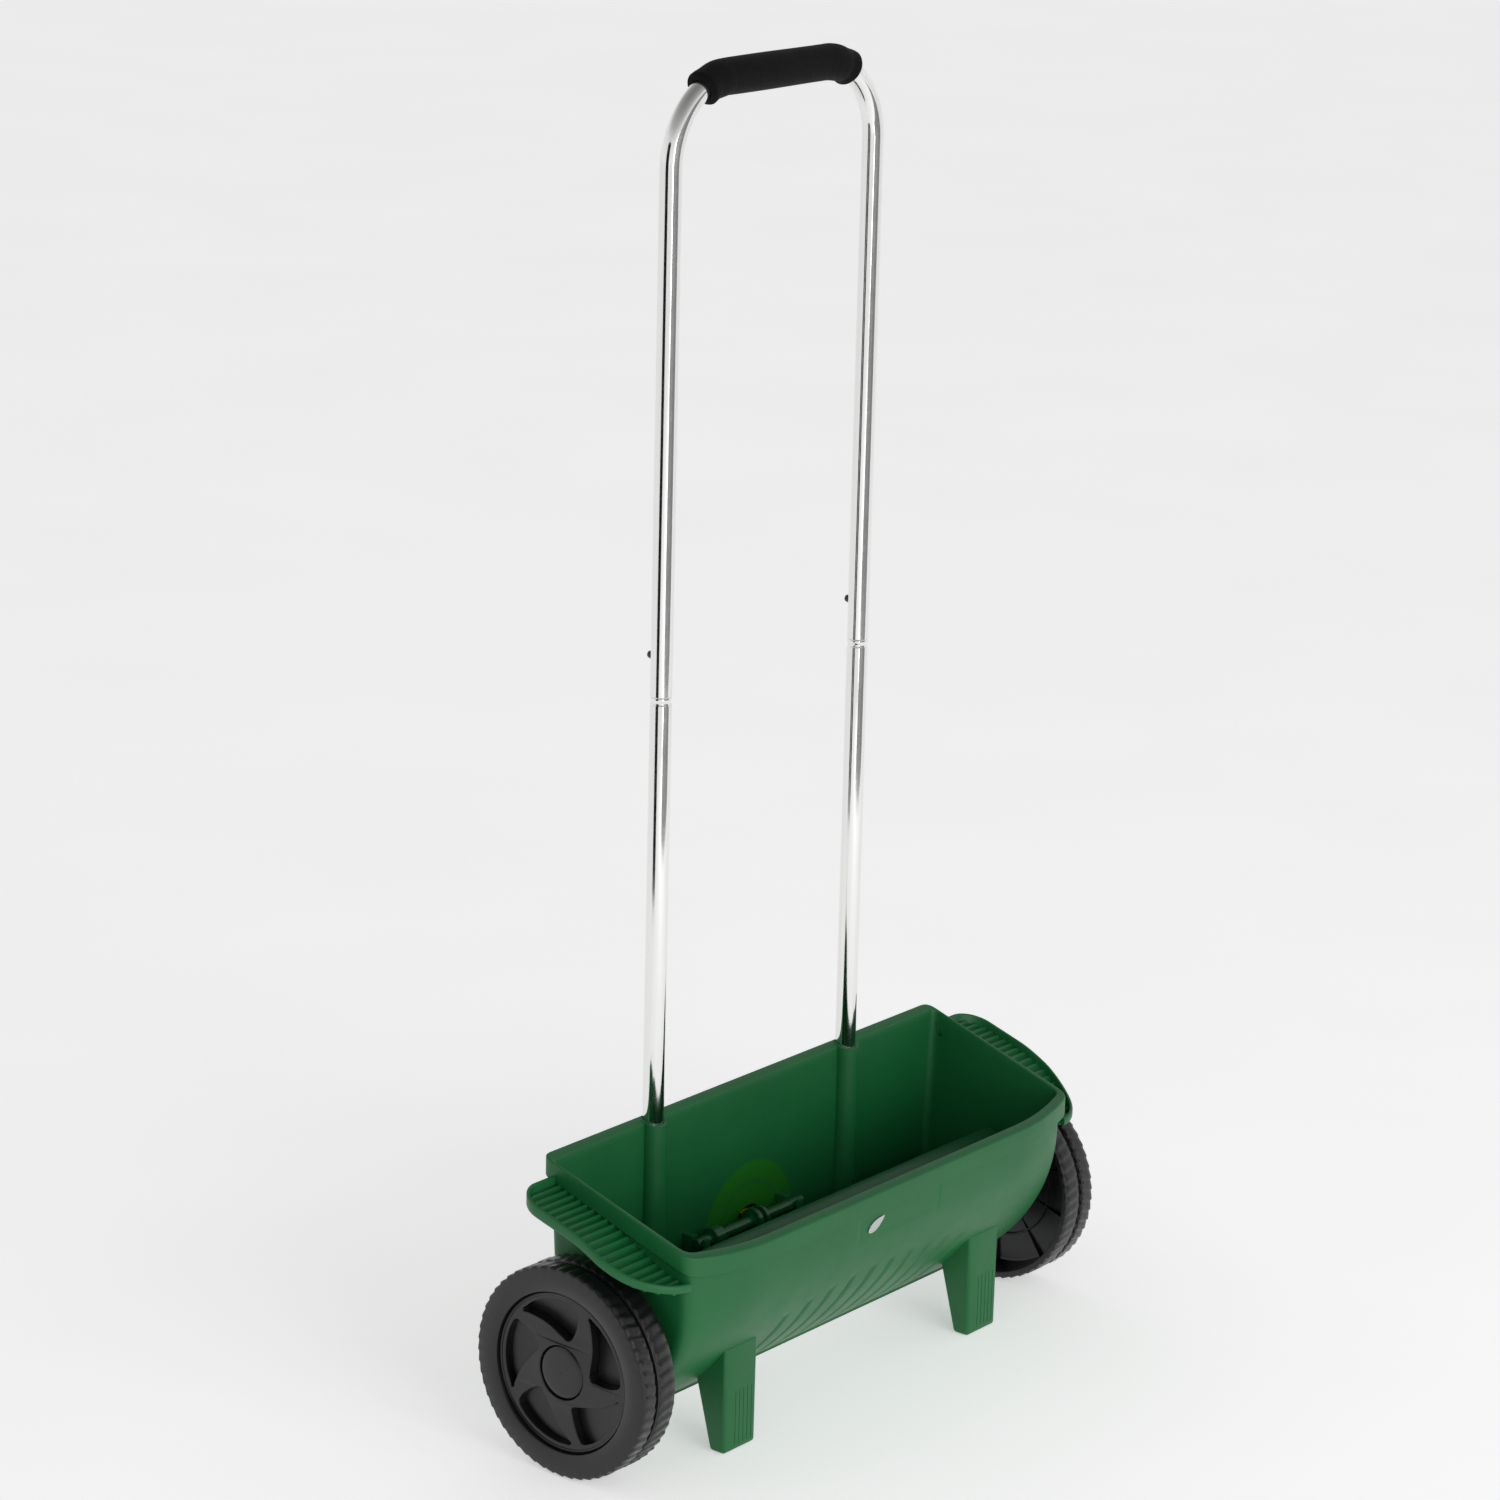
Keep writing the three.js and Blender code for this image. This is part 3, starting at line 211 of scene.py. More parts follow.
def moulded(name, colour, rough=(0.4, 0.5), grain=1500.0, depth=0.00006, spread=0.1, **sockets):
    """Injection-moulded plastic: a fine spark-eroded grain, faint flow marks and uneven gloss."""
    n = Nodes(name)
    flow = n.noise(9.0, 4.0, 0.6)
    low, high = shade(colour, 1 - spread), shade(colour, 1 + spread)
    n.link(n.ramp(flow, [(0.3, low), (0.7, high)]), n.shader.inputs["Base Color"])
    n.link(n.spread(n.noise(55.0, 5.0, 0.65), *rough), n.shader.inputs["Roughness"])
    soft = n.bump(n.noise(26.0, 2.0), 0.12, 0.0006)
    fine = n.bump(n.noise(grain, 2.0, 0.6), 0.25, depth, soft)
    n.link(fine, n.shader.inputs["Normal"])
    return n.finish(**sockets)


def hopper_plastic():
    """The hopper's green plastic, with a painted glow on its rear wall: a lighter disc with a darker ring,
    painted into the base colour in place of the yellow dial scale's light showing through the wall.
    """
    n = Nodes("green_plastic")
    base = (0.0045, 0.112, 0.029)
    flow = n.noise(7.0, 5.0, 0.62)
    green = n.ramp(flow, [(0.3, shade(base, 0.92)), (0.7, shade(base, 1.08))])
    split = n.new("ShaderNodeSeparateXYZ")
    n.link(n.coords, split.inputs[0])
    flat = n.new("ShaderNodeCombineXYZ")
    n.link(split.outputs["X"], flat.inputs["X"])
    n.link(split.outputs["Z"], flat.inputs["Z"])
    centre = n.new("ShaderNodeVectorMath", operation="DISTANCE")
    n.link(flat.outputs[0], centre.inputs[0])
    centre.inputs[1].default_value = (0.0, 0.0, DIAL_Z * MM)
    # painted glow: a lighter green disc round the dial on the outside of the rear wall, with a darker ring at
    # 36 mm, painted in place of the dial scale's light showing through the wall
    disc = n.new("ShaderNodeMapRange")
    disc.inputs["From Min"].default_value = 0.0535
    disc.inputs["From Max"].default_value = 0.0520
    n.link(centre.outputs["Value"], disc.inputs["Value"])
    ring = n.new("ShaderNodeMapRange")
    ring.inputs["From Min"].default_value = 0.0014
    ring.inputs["From Max"].default_value = 0.0026
    off = n.new("ShaderNodeMath", operation="SUBTRACT")
    n.link(centre.outputs["Value"], off.inputs[0])
    off.inputs[1].default_value = 0.036
    size = n.new("ShaderNodeMath", operation="ABSOLUTE")
    n.link(off.outputs[0], size.inputs[0])
    n.link(size.outputs[0], ring.inputs["Value"])
    ring.inputs["To Min"].default_value = 0.6
    rear = n.new("ShaderNodeMath", operation="GREATER_THAN")
    n.link(split.outputs["Y"], rear.inputs[0])
    rear.inputs[1].default_value = (REAR_WALL_Y - WALL - 1 + AXLE_Y) * MM
    mask = n.new("ShaderNodeMath", operation="MULTIPLY")
    n.link(disc.outputs[0], mask.inputs[0])
    n.link(rear.outputs[0], mask.inputs[1])
    painted_glow = n.new("ShaderNodeMath", operation="MULTIPLY")
    n.link(mask.outputs[0], painted_glow.inputs[0])
    n.link(ring.outputs[0], painted_glow.inputs[1])
    # mixes the painted glow's lighter green into the base colour inside the disc
    mix = n.new("ShaderNodeMix", data_type="RGBA")
    n.link(painted_glow.outputs[0], mix.inputs["Factor"])
    n.link(green, mix.inputs["A"])
    mix.inputs["B"].default_value = (0.010, 0.150, 0.009, 1.0)
    n.link(mix.outputs["Result"], n.shader.inputs["Base Color"])
    n.link(n.spread(n.noise(40.0, 5.0, 0.65), 0.40, 0.50), n.shader.inputs["Roughness"])
    soft = n.bump(n.noise(22.0, 2.0), 0.10, 0.0008)
    fine = n.bump(n.noise(1700.0, 2.0, 0.6), 0.22, 0.00006, soft)
    n.link(fine, n.shader.inputs["Normal"])
    return n.finish(Specular_IOR_Level=0.4)


def chrome():
    """Bright plated tube with fine drawing lines along it and faint fingerprints in its gloss."""
    n = Nodes("bright_tube")
    stretch = n.new("ShaderNodeMapping")
    stretch.inputs["Scale"].default_value = (900.0, 900.0, 6.0)
    n.link(n.coords, stretch.inputs["Vector"])
    lines = n.noise(1.0, 3.0, 0.6, stretch.outputs[0])
    tint = n.ramp(lines, [(0.2, (0.80, 0.80, 0.79)), (0.8, (0.92, 0.92, 0.91))])
    n.link(tint, n.shader.inputs["Base Color"])
    n.link(n.spread(n.noise(35.0, 6.0, 0.7), 0.07, 0.14), n.shader.inputs["Roughness"])
    n.link(n.bump(lines, 0.04, 0.00004), n.shader.inputs["Normal"])
    return n.finish(Metallic=1.0)


def plated_steel():
    """Zinc-plated steel with a fine spangle."""
    n = Nodes("zinc_steel")
    spangle = n.new("ShaderNodeTexVoronoi", Scale=420.0)
    n.link(n.coords, spangle.inputs["Vector"])
    tint = n.ramp(spangle.outputs["Distance"], [(0.0, (0.42, 0.42, 0.43)), (0.8, (0.56, 0.56, 0.57))])
    n.link(tint, n.shader.inputs["Base Color"])
    n.link(n.spread(n.noise(150.0, 4.0), 0.25, 0.42), n.shader.inputs["Roughness"])
    n.link(n.bump(n.noise(900.0, 2.0), 0.15, 0.00003), n.shader.inputs["Normal"])
    return n.finish(Metallic=1.0)


def foam():
    """Closed-cell foam: a soft black skin with fine pores and a little sheen."""
    n = Nodes("foam")
    cells = n.new("ShaderNodeTexVoronoi", Scale=1500.0)
    n.link(n.coords, cells.inputs["Vector"])
    tint = n.ramp(n.noise(60.0, 5.0), [(0.3, (0.0016, 0.0016, 0.0017)), (0.75, (0.0034, 0.0034, 0.0034))])
    n.link(tint, n.shader.inputs["Base Color"])
    n.link(n.spread(n.noise(400.0, 3.0), 0.85, 0.97), n.shader.inputs["Roughness"])
    pores = n.bump(cells.outputs["Distance"], 0.5, 0.00025)
    n.link(n.bump(n.noise(45.0, 3.0), 0.35, 0.0011, pores), n.shader.inputs["Normal"])
    return n.finish(Sheen_Weight=0.03, Sheen_Roughness=0.5, Specular_IOR_Level=0.15)


GREEN = hopper_plastic()
DARK_GREEN = moulded("dark_green_plastic", (0.004, 0.085, 0.022), (0.16, 0.26), 1200.0, 0.00002)
BLACK = moulded("black_plastic", (0.011, 0.011, 0.012), (0.32, 0.42))
WHEEL = moulded("wheel_plastic", (0.0060, 0.0060, 0.0065), (0.27, 0.36), 1300.0, 0.00004)
COATED = moulded("coated_steel", (0.004, 0.098, 0.027), (0.42, 0.50), 900.0, 0.00001)
NYLON = moulded("nylon", (0.72, 0.70, 0.62), (0.35, 0.5))
YELLOW = moulded("scale_plastic", (0.62, 0.50, 0.03), (0.3, 0.42))
SILVER = moulded("badge_silver", (0.55, 0.57, 0.56), (0.2, 0.3), Metallic=0.85)
CHROME = chrome()
STEEL = plated_steel()
FOAM = foam()

SLOT_MATERIALS = {
    "green_plastic": GREEN,
    "dark_green_plastic": DARK_GREEN,
    "black_plastic": BLACK,
    "wheel_plastic": WHEEL,
    "nylon": NYLON,
    "scale_plastic": YELLOW,
    "badge_silver": SILVER,
    "bright_tube": CHROME,
    "coated_steel": COATED,
    "zinc_steel": STEEL,
    "foam": FOAM,
}

for subpart in frame["record"]["subparts"]:
    node = frame["nodes"][subpart["node"]]
    node.data.materials.clear()
    node.data.materials.append(SLOT_MATERIALS[subpart["material_slot"]])

# ---------------------------------------------------------------- mesh helpers


def mesh_object(name, verts, faces, material, sharp=34.0):
    mesh = bpy.data.meshes.new(name)
    mesh.from_pydata([tuple(v) for v in verts], [], faces)
    mesh.validate()
    obj = bpy.data.objects.new(name, mesh)
    bpy.context.scene.collection.objects.link(obj)
    obj.data.materials.append(material)
    shade_smooth(obj, sharp)
    return obj


def shade_smooth(obj, sharp=34.0):
    mesh = obj.data
    mesh.polygons.foreach_set("use_smooth", [True] * len(mesh.polygons))
    mesh.set_sharp_from_angle(angle=math.radians(sharp))


def grid_faces(rows, columns, close_rows=False, close_columns=True):
    """Quads between rows of points that follow each other in one list."""
    faces = []
    for r in range(rows if close_rows else rows - 1):
        for c in range(columns if close_columns else columns - 1):
            a = r * columns + c
            b = r * columns + (c + 1) % columns
            up = ((r + 1) % rows) * columns
            faces.append((a, b, up + (c + 1) % columns, up + c))
    return faces


def skin(name, rings, material, caps=True, close_rows=False, sharp=34.0):
    """A surface over rings of points, each ring closed on itself."""
    count = len(rings[0])
    faces = grid_faces(len(rings), count, close_rows)
    if caps and not close_rows:
        last = (len(rings) - 1) * count
        faces.append(tuple(reversed(range(count))))
        faces.append(tuple(last + i for i in range(count)))
    return mesh_object(name, [p for ring in rings for p in ring], faces, material, sharp)


def lathe_x(name, profile, x0, facing, y, z, material, sides=96, closed=True, sharp=34.0):
    """Turns (radius, station) pairs round the X line through y, z; stations run to facing from x0."""
    rings = []
    for radius, station in profile:
        ring = []
        for i in range(sides):
            a = 2 * math.pi * i / sides * facing
            ring.append(at(x0 + facing * station, y + radius * math.cos(a), z + radius * math.sin(a)))
        rings.append(ring)
    return skin(name, rings, material, caps=not closed, close_rows=closed, sharp=sharp)


def block(name, x0, x1, y0, y1, z0, z1, material, bevel=0.0, segments=2):
    corners = [at(x, y, z) for z in (z0, z1) for x, y in ((x0, y0), (x1, y0), (x1, y1), (x0, y1))]
    return hexahedron(name, corners, material, bevel, segments)


def hexahedron(name, corners, material, bevel=0.0, segments=2):
    """A block from four lower and four upper corners, anticlockwise from above, with rounded edges."""
    faces = [(3, 2, 1, 0), (4, 5, 6, 7), (0, 1, 5, 4), (1, 2, 6, 5), (2, 3, 7, 6), (3, 0, 4, 7)]
    obj = mesh_object(name, corners, faces, material)
    if bevel:
        modifier = obj.modifiers.new("round", "BEVEL")
        modifier.width = bevel * MM
        modifier.segments = segments
        apply_modifiers(obj)
        shade_smooth(obj)
    return obj


def apply_modifiers(obj):
    graph = bpy.context.evaluated_depsgraph_get()
    graph.update()
    mesh = bpy.data.meshes.new_from_object(obj.evaluated_get(graph))
    obj.modifiers.clear()
    obj.data = mesh


def joined(name, pieces):
    """One object from several, keeping their materials."""
    keep = pieces[0]
    with bpy.context.temp_override(
        active_object=keep, object=keep, selected_editable_objects=pieces, selected_objects=pieces
    ):
        bpy.ops.object.join()
    keep.name = name
    keep.data.name = name
    return keep


def boolean(obj, tools, operation):
    for tool in tools:
        modifier = obj.modifiers.new("cut", "BOOLEAN")
        modifier.operation = operation
        modifier.solver = "EXACT"
        modifier.object = tool
        apply_modifiers(obj)
        bpy.data.objects.remove(tool)
    return obj


def ring_z(x, y, z, radius, sides):
    """Points round an upright axis."""
    angles = [2 * math.pi * i / sides for i in range(sides)]
    return [at(x + radius * math.cos(a), y + radius * math.sin(a), z) for a in angles]


def ring_y(x, y, z, radius, sides, turn=-1):
    """Points round an axis along Y."""
    angles = [turn * 2 * math.pi * i / sides for i in range(sides)]
    return [at(x + radius * math.cos(a), y, z + radius * math.sin(a)) for a in angles]


def rod_z(name, z0, z1, x, y, radius, material, sides=64):
    return skin(name, [ring_z(x, y, z, radius, sides) for z in (z0, z1)], material)


def rod_y(name, y0, y1, x, z, radius, material, sides=64):
    return skin(name, [ring_y(x, y, z, radius, sides) for y in (y0, y1)], material)


def stand_for(piece, body, *nodes, slot=None):
    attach(piece, body)
    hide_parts(*nodes)


# ---------------------------------------------------------------- hopper shell


def rim_z(y):
    return REAR_RIM_Z + RIM_SLOPE * (y - REAR_RIM_Y)


def bow(x, z):
    run = max(0.0, abs(x) - BOW_STRAIGHT)
    fade = smooth((z - BOW_LOW) / (BOW_HIGH - BOW_LOW))
    return (BOW_RADIUS - math.sqrt(BOW_RADIUS**2 - run**2)) * fade


def belly_y(z, inset):
    centre = FRONT_WALL_Y + bow(HOPPER_HALF, WIDE_TOP) + BELLY_RADIUS
    height = max(0.0, BELLY_TOP_Z - z)
    return centre - math.sqrt((BELLY_RADIUS - inset) ** 2 - height**2)


def bezier(p0, p1, p2, t):
    u = 1 - t
    return tuple(u * u * a + 2 * u * t * b + t * t * c for a, b, c in zip(p0, p1, p2))


def plan_point(key, half, rear, front, corner, z):
    """A point of the hopper's outline from above. key is (stretch, side, place along it)."""
    stretch, side, f = key
    inner = half - corner

    def front_y(x):
        return front + bow(x, z)

    if stretch == "front":
        return f, front_y(f)
    if stretch == "bow":
        x = BOW_STRAIGHT + (inner - BOW_STRAIGHT) * f
        point = (x, front_y(x))
    elif stretch == "front corner":
        point = bezier((inner, front_y(inner)), (half, front_y(half)), (half, front_y(half) + corner), f)
    elif stretch == "end":
        low = front_y(half) + corner
        point = (half, low + (rear - corner - low) * f)
    elif stretch == "rear corner":
        point = bezier((half, rear - corner), (half, rear), (inner, rear), f)
    else:
        return inner * f, rear
    return side * point[0], point[1]


def plan_keys():
    fine = [i * 1.25 for i in range(-92, 93)]
    coarse = [115.0 + 5.0 * i for i in range(1, 8)]
    front = [-x for x in reversed(coarse)] + fine + coarse
    keys = [("front", 0, x) for x in front]
    right = [("bow", 1, i / 16) for i in range(17)]
    right += [("front corner", 1, i / 7) for i in range(1, 8)]
    right += [("end", 1, i / 24) for i in range(1, 24)]
    right += [("rear corner", 1, i / 7) for i in range(8)]
    left = [(stretch, -1, f) for stretch, _, f in reversed(right)]
    rear = [("rear", 0, 1 - 2 * i / 60) for i in range(1, 60)]
    return keys + right + rear + left


KEYS = plan_keys()


def body_point(key, z, inset):
    corner_z = FLOOR_Z + REAR_CORNER
    below = max(0.0, corner_z - z)
    rounding = REAR_CORNER - math.sqrt(max(0.0, (REAR_CORNER - inset) ** 2 - below**2))
    half = HOPPER_HALF - END_DRAFT * (rim_z(0) - z) - inset
    front = belly_y(z, inset) - bow(HOPPER_HALF, z)
    return plan_point(key, half, REAR_WALL_Y - rounding, front, PLAN_CORNER - inset, z)


def skirt_point(key):
    return plan_point(key, HOPPER_HALF + 0.25, REAR_RIM_Y, FRONT_RIM_Y, PLAN_CORNER, WIDE_TOP)


def outward(points):
    """Outward normals of a closed outline that runs anticlockwise."""
    normals = []
    count = len(points)
    for i in range(count):
        x0, y0 = points[i - 1]
        x1, y1 = points[(i + 1) % count]
        length = math.hypot(x1 - x0, y1 - y0)
        normals.append(((y1 - y0) / length, -(x1 - x0) / length))
    return normals


def flute_depth(x, z):
    """Depth of the shallow upright flutes low on the front wall."""
    depth = 0.0
    for i in range(FLUTES):
        middle = (i - (FLUTES - 1) / 2) * FLUTE_PITCH
        away = x - middle
        if -3.2 < away < 5.2:
            width = 3.2 if away < 0 else 5.2
            top = 108 - 12 * (middle / 107) ** 2
            across = math.cos(math.pi / 2 * away / width) ** 1.5
            ends = smooth((top - z + 0.4 * abs(away)) / 7) * smooth((z - 38) / 10)
            depth = max(depth, FLUTE_DEPTH * across * ends)
    return depth


def label_depth(x, z):
    x0, x1, z0, z1 = LABEL
    inside = min(x - x0, x1 - x, z - z0, z1 - z)
    return 0.4 * smooth((inside + 0.6) / 1.2)


def hopper_shell():
    skirt = [skirt_point(key) for key in KEYS]
    normals = outward(skirt)
    wall_levels = 58
    inner_levels = 34
    columns = []
    for key, (sx, sy), (nx, ny) in zip(KEYS, skirt, normals):
        column = []
        wx, wy = body_point(key, 200.0, 0.0)
        top = rim_z(wy) - SKIRT_HEIGHT
        for level in range(wall_levels + 1):
            z = FLOOR_Z + (top - FLOOR_Z) * level / wall_levels
            x, y = body_point(key, z, 0.0)
            if key[0] == "front":
                sunk = flute_depth(x, z) + label_depth(x, z)
                tilt = max(0.0, BELLY_TOP_Z - z) / BELLY_RADIUS
                y += sunk * math.sqrt(1 - tilt * tilt)
                column.append(at(x, y, z + sunk * tilt))
            else:
                column.append(at(x, y, z))

        def on_rim(x, y, depth):
            return at(x, y, rim_z(y) - depth)

        column.append(on_rim(wx + nx * 0.25, wy + ny * 0.25, SKIRT_HEIGHT + 0.05))
        for back, depth in ((0.6, 15.0), (0.0, 14.4), (0.0, 8.0)):
            column.append(on_rim(sx - nx * back, sy - ny * back, depth))
        round_top = 0.9 + 0.5 * ny * ny
        for step in range(6):
            a = math.radians(90 * step / 5)
            back = round_top * (1 - math.cos(a))
            column.append(on_rim(sx - nx * back, sy - ny * back, round_top * (1 - math.sin(a))))
        ix, iy = body_point(key, rim_z(wy), WALL)
        round_in = 0.8
        for step in range(4):
            a = math.radians(90 * step / 3)
            out = round_in * (1 - math.sin(a))
            column.append(on_rim(ix + nx * out, iy + ny * out, round_in * (1 - math.cos(a))))
        inner_top = rim_z(iy) - round_in
        floor = FLOOR_Z + WALL
        for level in range(1, inner_levels + 1):
            z = inner_top + (floor - inner_top) * (level / inner_levels)
            x, y = body_point(key, z, WALL)
            column.append(at(x, y, z))
        columns.append(column)
    levels = len(columns[0])
    rings = [[column[level] for column in columns] for level in range(levels)]
    return skin("hopper_shell", rings, GREEN)


def tray_top(y):
    return rim_z(y) - TRAY_BELOW_RIM - TRAY_DIP * smooth((-5 - y) / 60)


def tray_outline():
    """Points of the tray's outer edge on the right, from its rear root round to its front root."""
    points = []
    root = TRAY_ROOT
    centre = (TRAY_REACH - TRAY_CORNER, TRAY_REAR_Y - TRAY_CORNER)
    points.append((root, TRAY_REAR_Y))
    points.append((root + 6, TRAY_REAR_Y))
    for i in range(17):
        a = math.radians(90 - 90 * i / 16)
        points.append((centre[0] + TRAY_CORNER * math.cos(a), centre[1] + TRAY_CORNER * math.sin(a)))
    start = TRAY_FRONT_Y + TRAY_FRONT_ROUND
    for i in range(1, 13):
        points.append((TRAY_REACH, centre[1] + (start - centre[1]) * i / 12))
    for i in range(1, 25):
        taper = math.sin(math.radians(90) * i / 24)
        y = start - TRAY_FRONT_ROUND * taper
        reach = (TRAY_REACH - root) * math.sqrt(max(0.0, 1 - taper**1.6))
        points.append((root + reach, y))
    return points


def tray_reach(y, inset):
    """How far from the middle the tray's edge is at y, less an inset all round."""
    root = TRAY_ROOT
    into_corner = y - (TRAY_REAR_Y - TRAY_CORNER)
    if into_corner > 0:
        radius = TRAY_CORNER - inset
        return TRAY_REACH - TRAY_CORNER + math.sqrt(max(0.0, radius**2 - into_corner**2))
    from_start = TRAY_FRONT_Y + TRAY_FRONT_ROUND - y
    taper = min(1.0, max(0.0, from_start / (TRAY_FRONT_ROUND - inset)))
    return root + (TRAY_REACH - inset - root) * math.sqrt(1 - taper**1.6)


def end_tray(side):
    """A shallow tray on an end wall: a rounded lip, a floor and cross ribs."""
    outline = tray_outline()
    count = len(outline)
    rings = []
    root = TRAY_ROOT
    for i, (x, y) in enumerate(outline):
        x0, y0 = outline[max(0, i - 1)]
        x1, y1 = outline[min(count - 1, i + 1)]
        length = math.hypot(x1 - x0, y1 - y0)
        nx, ny = -(y1 - y0) / length, (x1 - x0) / length
        share = i / (count - 1)
        height = 10.0 - 4.0 * smooth(share)
        floor = TRAY_LIP - 1.5 * smooth((share - 0.6) / 0.4)

        def spot(back, depth):
            px, py = x - nx * back, y - ny * back
            py = min(TRAY_REAR_Y, max(TRAY_FRONT_Y, py))
            return (max(root, px), py, tray_top(py) - depth)

        section = [(root, spot(0.6, 0)[1], tray_top(y) - height)]
        section += [spot(1.2, height), spot(0.35, height - 0.3), spot(0.0, height - 1.1), spot(0.0, 1.2)]
        section += [spot(0.35, 0.36), spot(1.2, 0.0), spot(1.6, 0.0), spot(2.2, 0.3), spot(2.5, 0.9)]
        section += [spot(2.5, floor - 1.2), spot(2.9, floor - 0.3), spot(3.8, floor)]
        last = spot(3.8, floor)
        section.append((root, last[1], last[2]))
        rings.append([at(side * px, py, pz) for px, py, pz in section])
    if side < 0:
        rings.reverse()
    tray = skin("tray", rings, GREEN)
    pieces = [tray]
    pitch = (TRAY_REAR_Y - TRAY_FRONT_Y) / (TRAY_RIBS + 1)
    for i in range(TRAY_RIBS):
        y = TRAY_REAR_Y - (i + 1) * pitch
        end = tray_reach(y, TRAY_WALL + 0.5)
        if end - root > 6:
            pieces.append(tray_rib(side, root, end, y))
    return joined("tray", pieces)


def tray_rib(side, x0, x1, y):
    """A low rib with a rounded top that runs from the wall to the lip."""
    left = [(-1.35, -1.5), (-1.1, 0.6), (-0.75, 2.3), (-0.3, 2.75)]
    section = left + [(-dy, dz) for dy, dz in reversed(left)]
    rings = []
    for share in (0.0, 0.08, 0.5, 0.9, 0.97, 1.0):
        x = x0 + (x1 - x0) * share
        drop = 0.5 * max(0.0, (share - 0.9) / 0.1) ** 2
        low = tray_top(y) - TRAY_LIP
        ring = [at(side * x, y + dy, low + dz - (drop if dz > 0 else 0.0)) for dy, dz in section]
        rings.append(ring)
    if side > 0:
        rings.reverse()
    return skin("rib", rings, GREEN)


def front_leg(side):
    """A front leg: a front plate with two cheeks, open towards the rear, fluted low on its face."""
    x0, x1 = side * LEG_X - LEG_WIDTH / 2, side * LEG_X + LEG_WIDTH / 2
    top, foot = LEG_TOP_Z, 0.0
    rear_foot, rear_top = LEG_REAR_Y
    corners = [
        at(x0 + 0.5, LEG_FRONT_Y, foot), at(x1 - 0.5, LEG_FRONT_Y, foot),
        at(x1 - 0.5, rear_foot, foot), at(x0 + 0.5, rear_foot, foot),
        at(x0, LEG_FRONT_Y, top), at(x1, LEG_FRONT_Y, top),
        at(x1, rear_top, top), at(x0, rear_top, top),
    ]
    leg = hexahedron("leg", corners, GREEN, bevel=2.8, segments=4)
    wall = LEG_WALL
    pocket = block("pocket", x0 + wall, x1 - wall, LEG_FRONT_Y + wall, 0, wall, LEG_POCKET_TOP, GREEN)
    grooves = []
    bottom = LEG_FRONT_Y + LEG_GROOVE_DEPTH
    for i in range(LEG_GROOVES):
        x = x0 + 12.5 + LEG_GROOVE_PITCH * i
        grooves.append(block("groove", x - 0.5, x + 0.5, LEG_FRONT_Y - 1, bottom, 5, 47, GREEN))
    return boolean(leg, [pocket, *grooves], "DIFFERENCE")


def socket_boss(side):
    """The boss on the rear wall that holds a handle tube."""
    x = side * HANDLE_X
    sides = 72
    low = 70.0
    rings = []
    for level in range(9):
        ring = []
        flare = 1.5 * (1 - level / 8) ** 2
        for i in range(sides):
            a = 2 * math.pi * i / sides
            px = x + (SOCKET_R + flare) * math.cos(a)
            py = HANDLE_Y + (SOCKET_R + 0.4 * flare) * math.sin(a)
            high = rim_z(py) + 0.5 - 4.5 * smooth((py - 53.0) / 5.0)
            ring.append(at(px, py, low + (high - low) * level / 8))
        rings.append(ring)
    return skin("socket", rings, GREEN)


def spindle_saddle(x):
    """An open bearing on the rear wall that the flow spindle lies in."""
    reach = 4.8
    low, high = SPINDLE_Z - 9, SPINDLE_Z + reach
    piece = block("saddle", x - 3, x + 3, 26.2, REAR_WALL_Y - 1, low, high, GREEN, 0.5)
    y0, y1 = SPINDLE_Y - reach, SPINDLE_Y + reach
    notch = block("notch", x - 5, x + 5, y0, y1, SPINDLE_Z - reach, SPINDLE_Z + 9, GREEN)
    return boolean(piece, [notch], "DIFFERENCE")


def bar_cradle(side):
    """An open block on an end wall that the load bar's pin drops into."""
    inner, outer = side * 217.0, side * 225.0
    x0, x1 = min(inner, outer), max(inner, outer)
    piece = block("cradle", x0, x1, BAR_Y - 8, BAR_Y + 8, BAR_Z - 8, BAR_Z + 4, GREEN, 0.8)
    notch = block("notch", x0 - 1, x1 + 1, BAR_Y - 4.3, BAR_Y + 4.3, BAR_Z - 4.3, BAR_Z + 9, GREEN)
    return boolean(piece, [notch], "DIFFERENCE")


def crank_slot_cutter(y0, y1):
    """The ring-shaped slot that the crank pin swings in."""
    reach = CRANK_HALF + CRANK_SLOT_HALF / CRANK_R
    outer, inner = CRANK_R + CRANK_SLOT_HALF, CRANK_R - CRANK_SLOT_HALF
    steps = 16
    rings = []
    for y in (y0, y1):
        ring = []
        for i in range(steps + 1):
            a = math.pi / 2 + reach - 2 * reach * i / steps
            ring.append(at(outer * math.cos(a), y, DIAL_Z + outer * math.sin(a)))
        for i in range(steps + 1):
            a = math.pi / 2 - reach + 2 * reach * i / steps
            ring.append(at(inner * math.cos(a), y, DIAL_Z + inner * math.sin(a)))
        rings.append(ring)
    return skin("cutter", rings, GREEN)


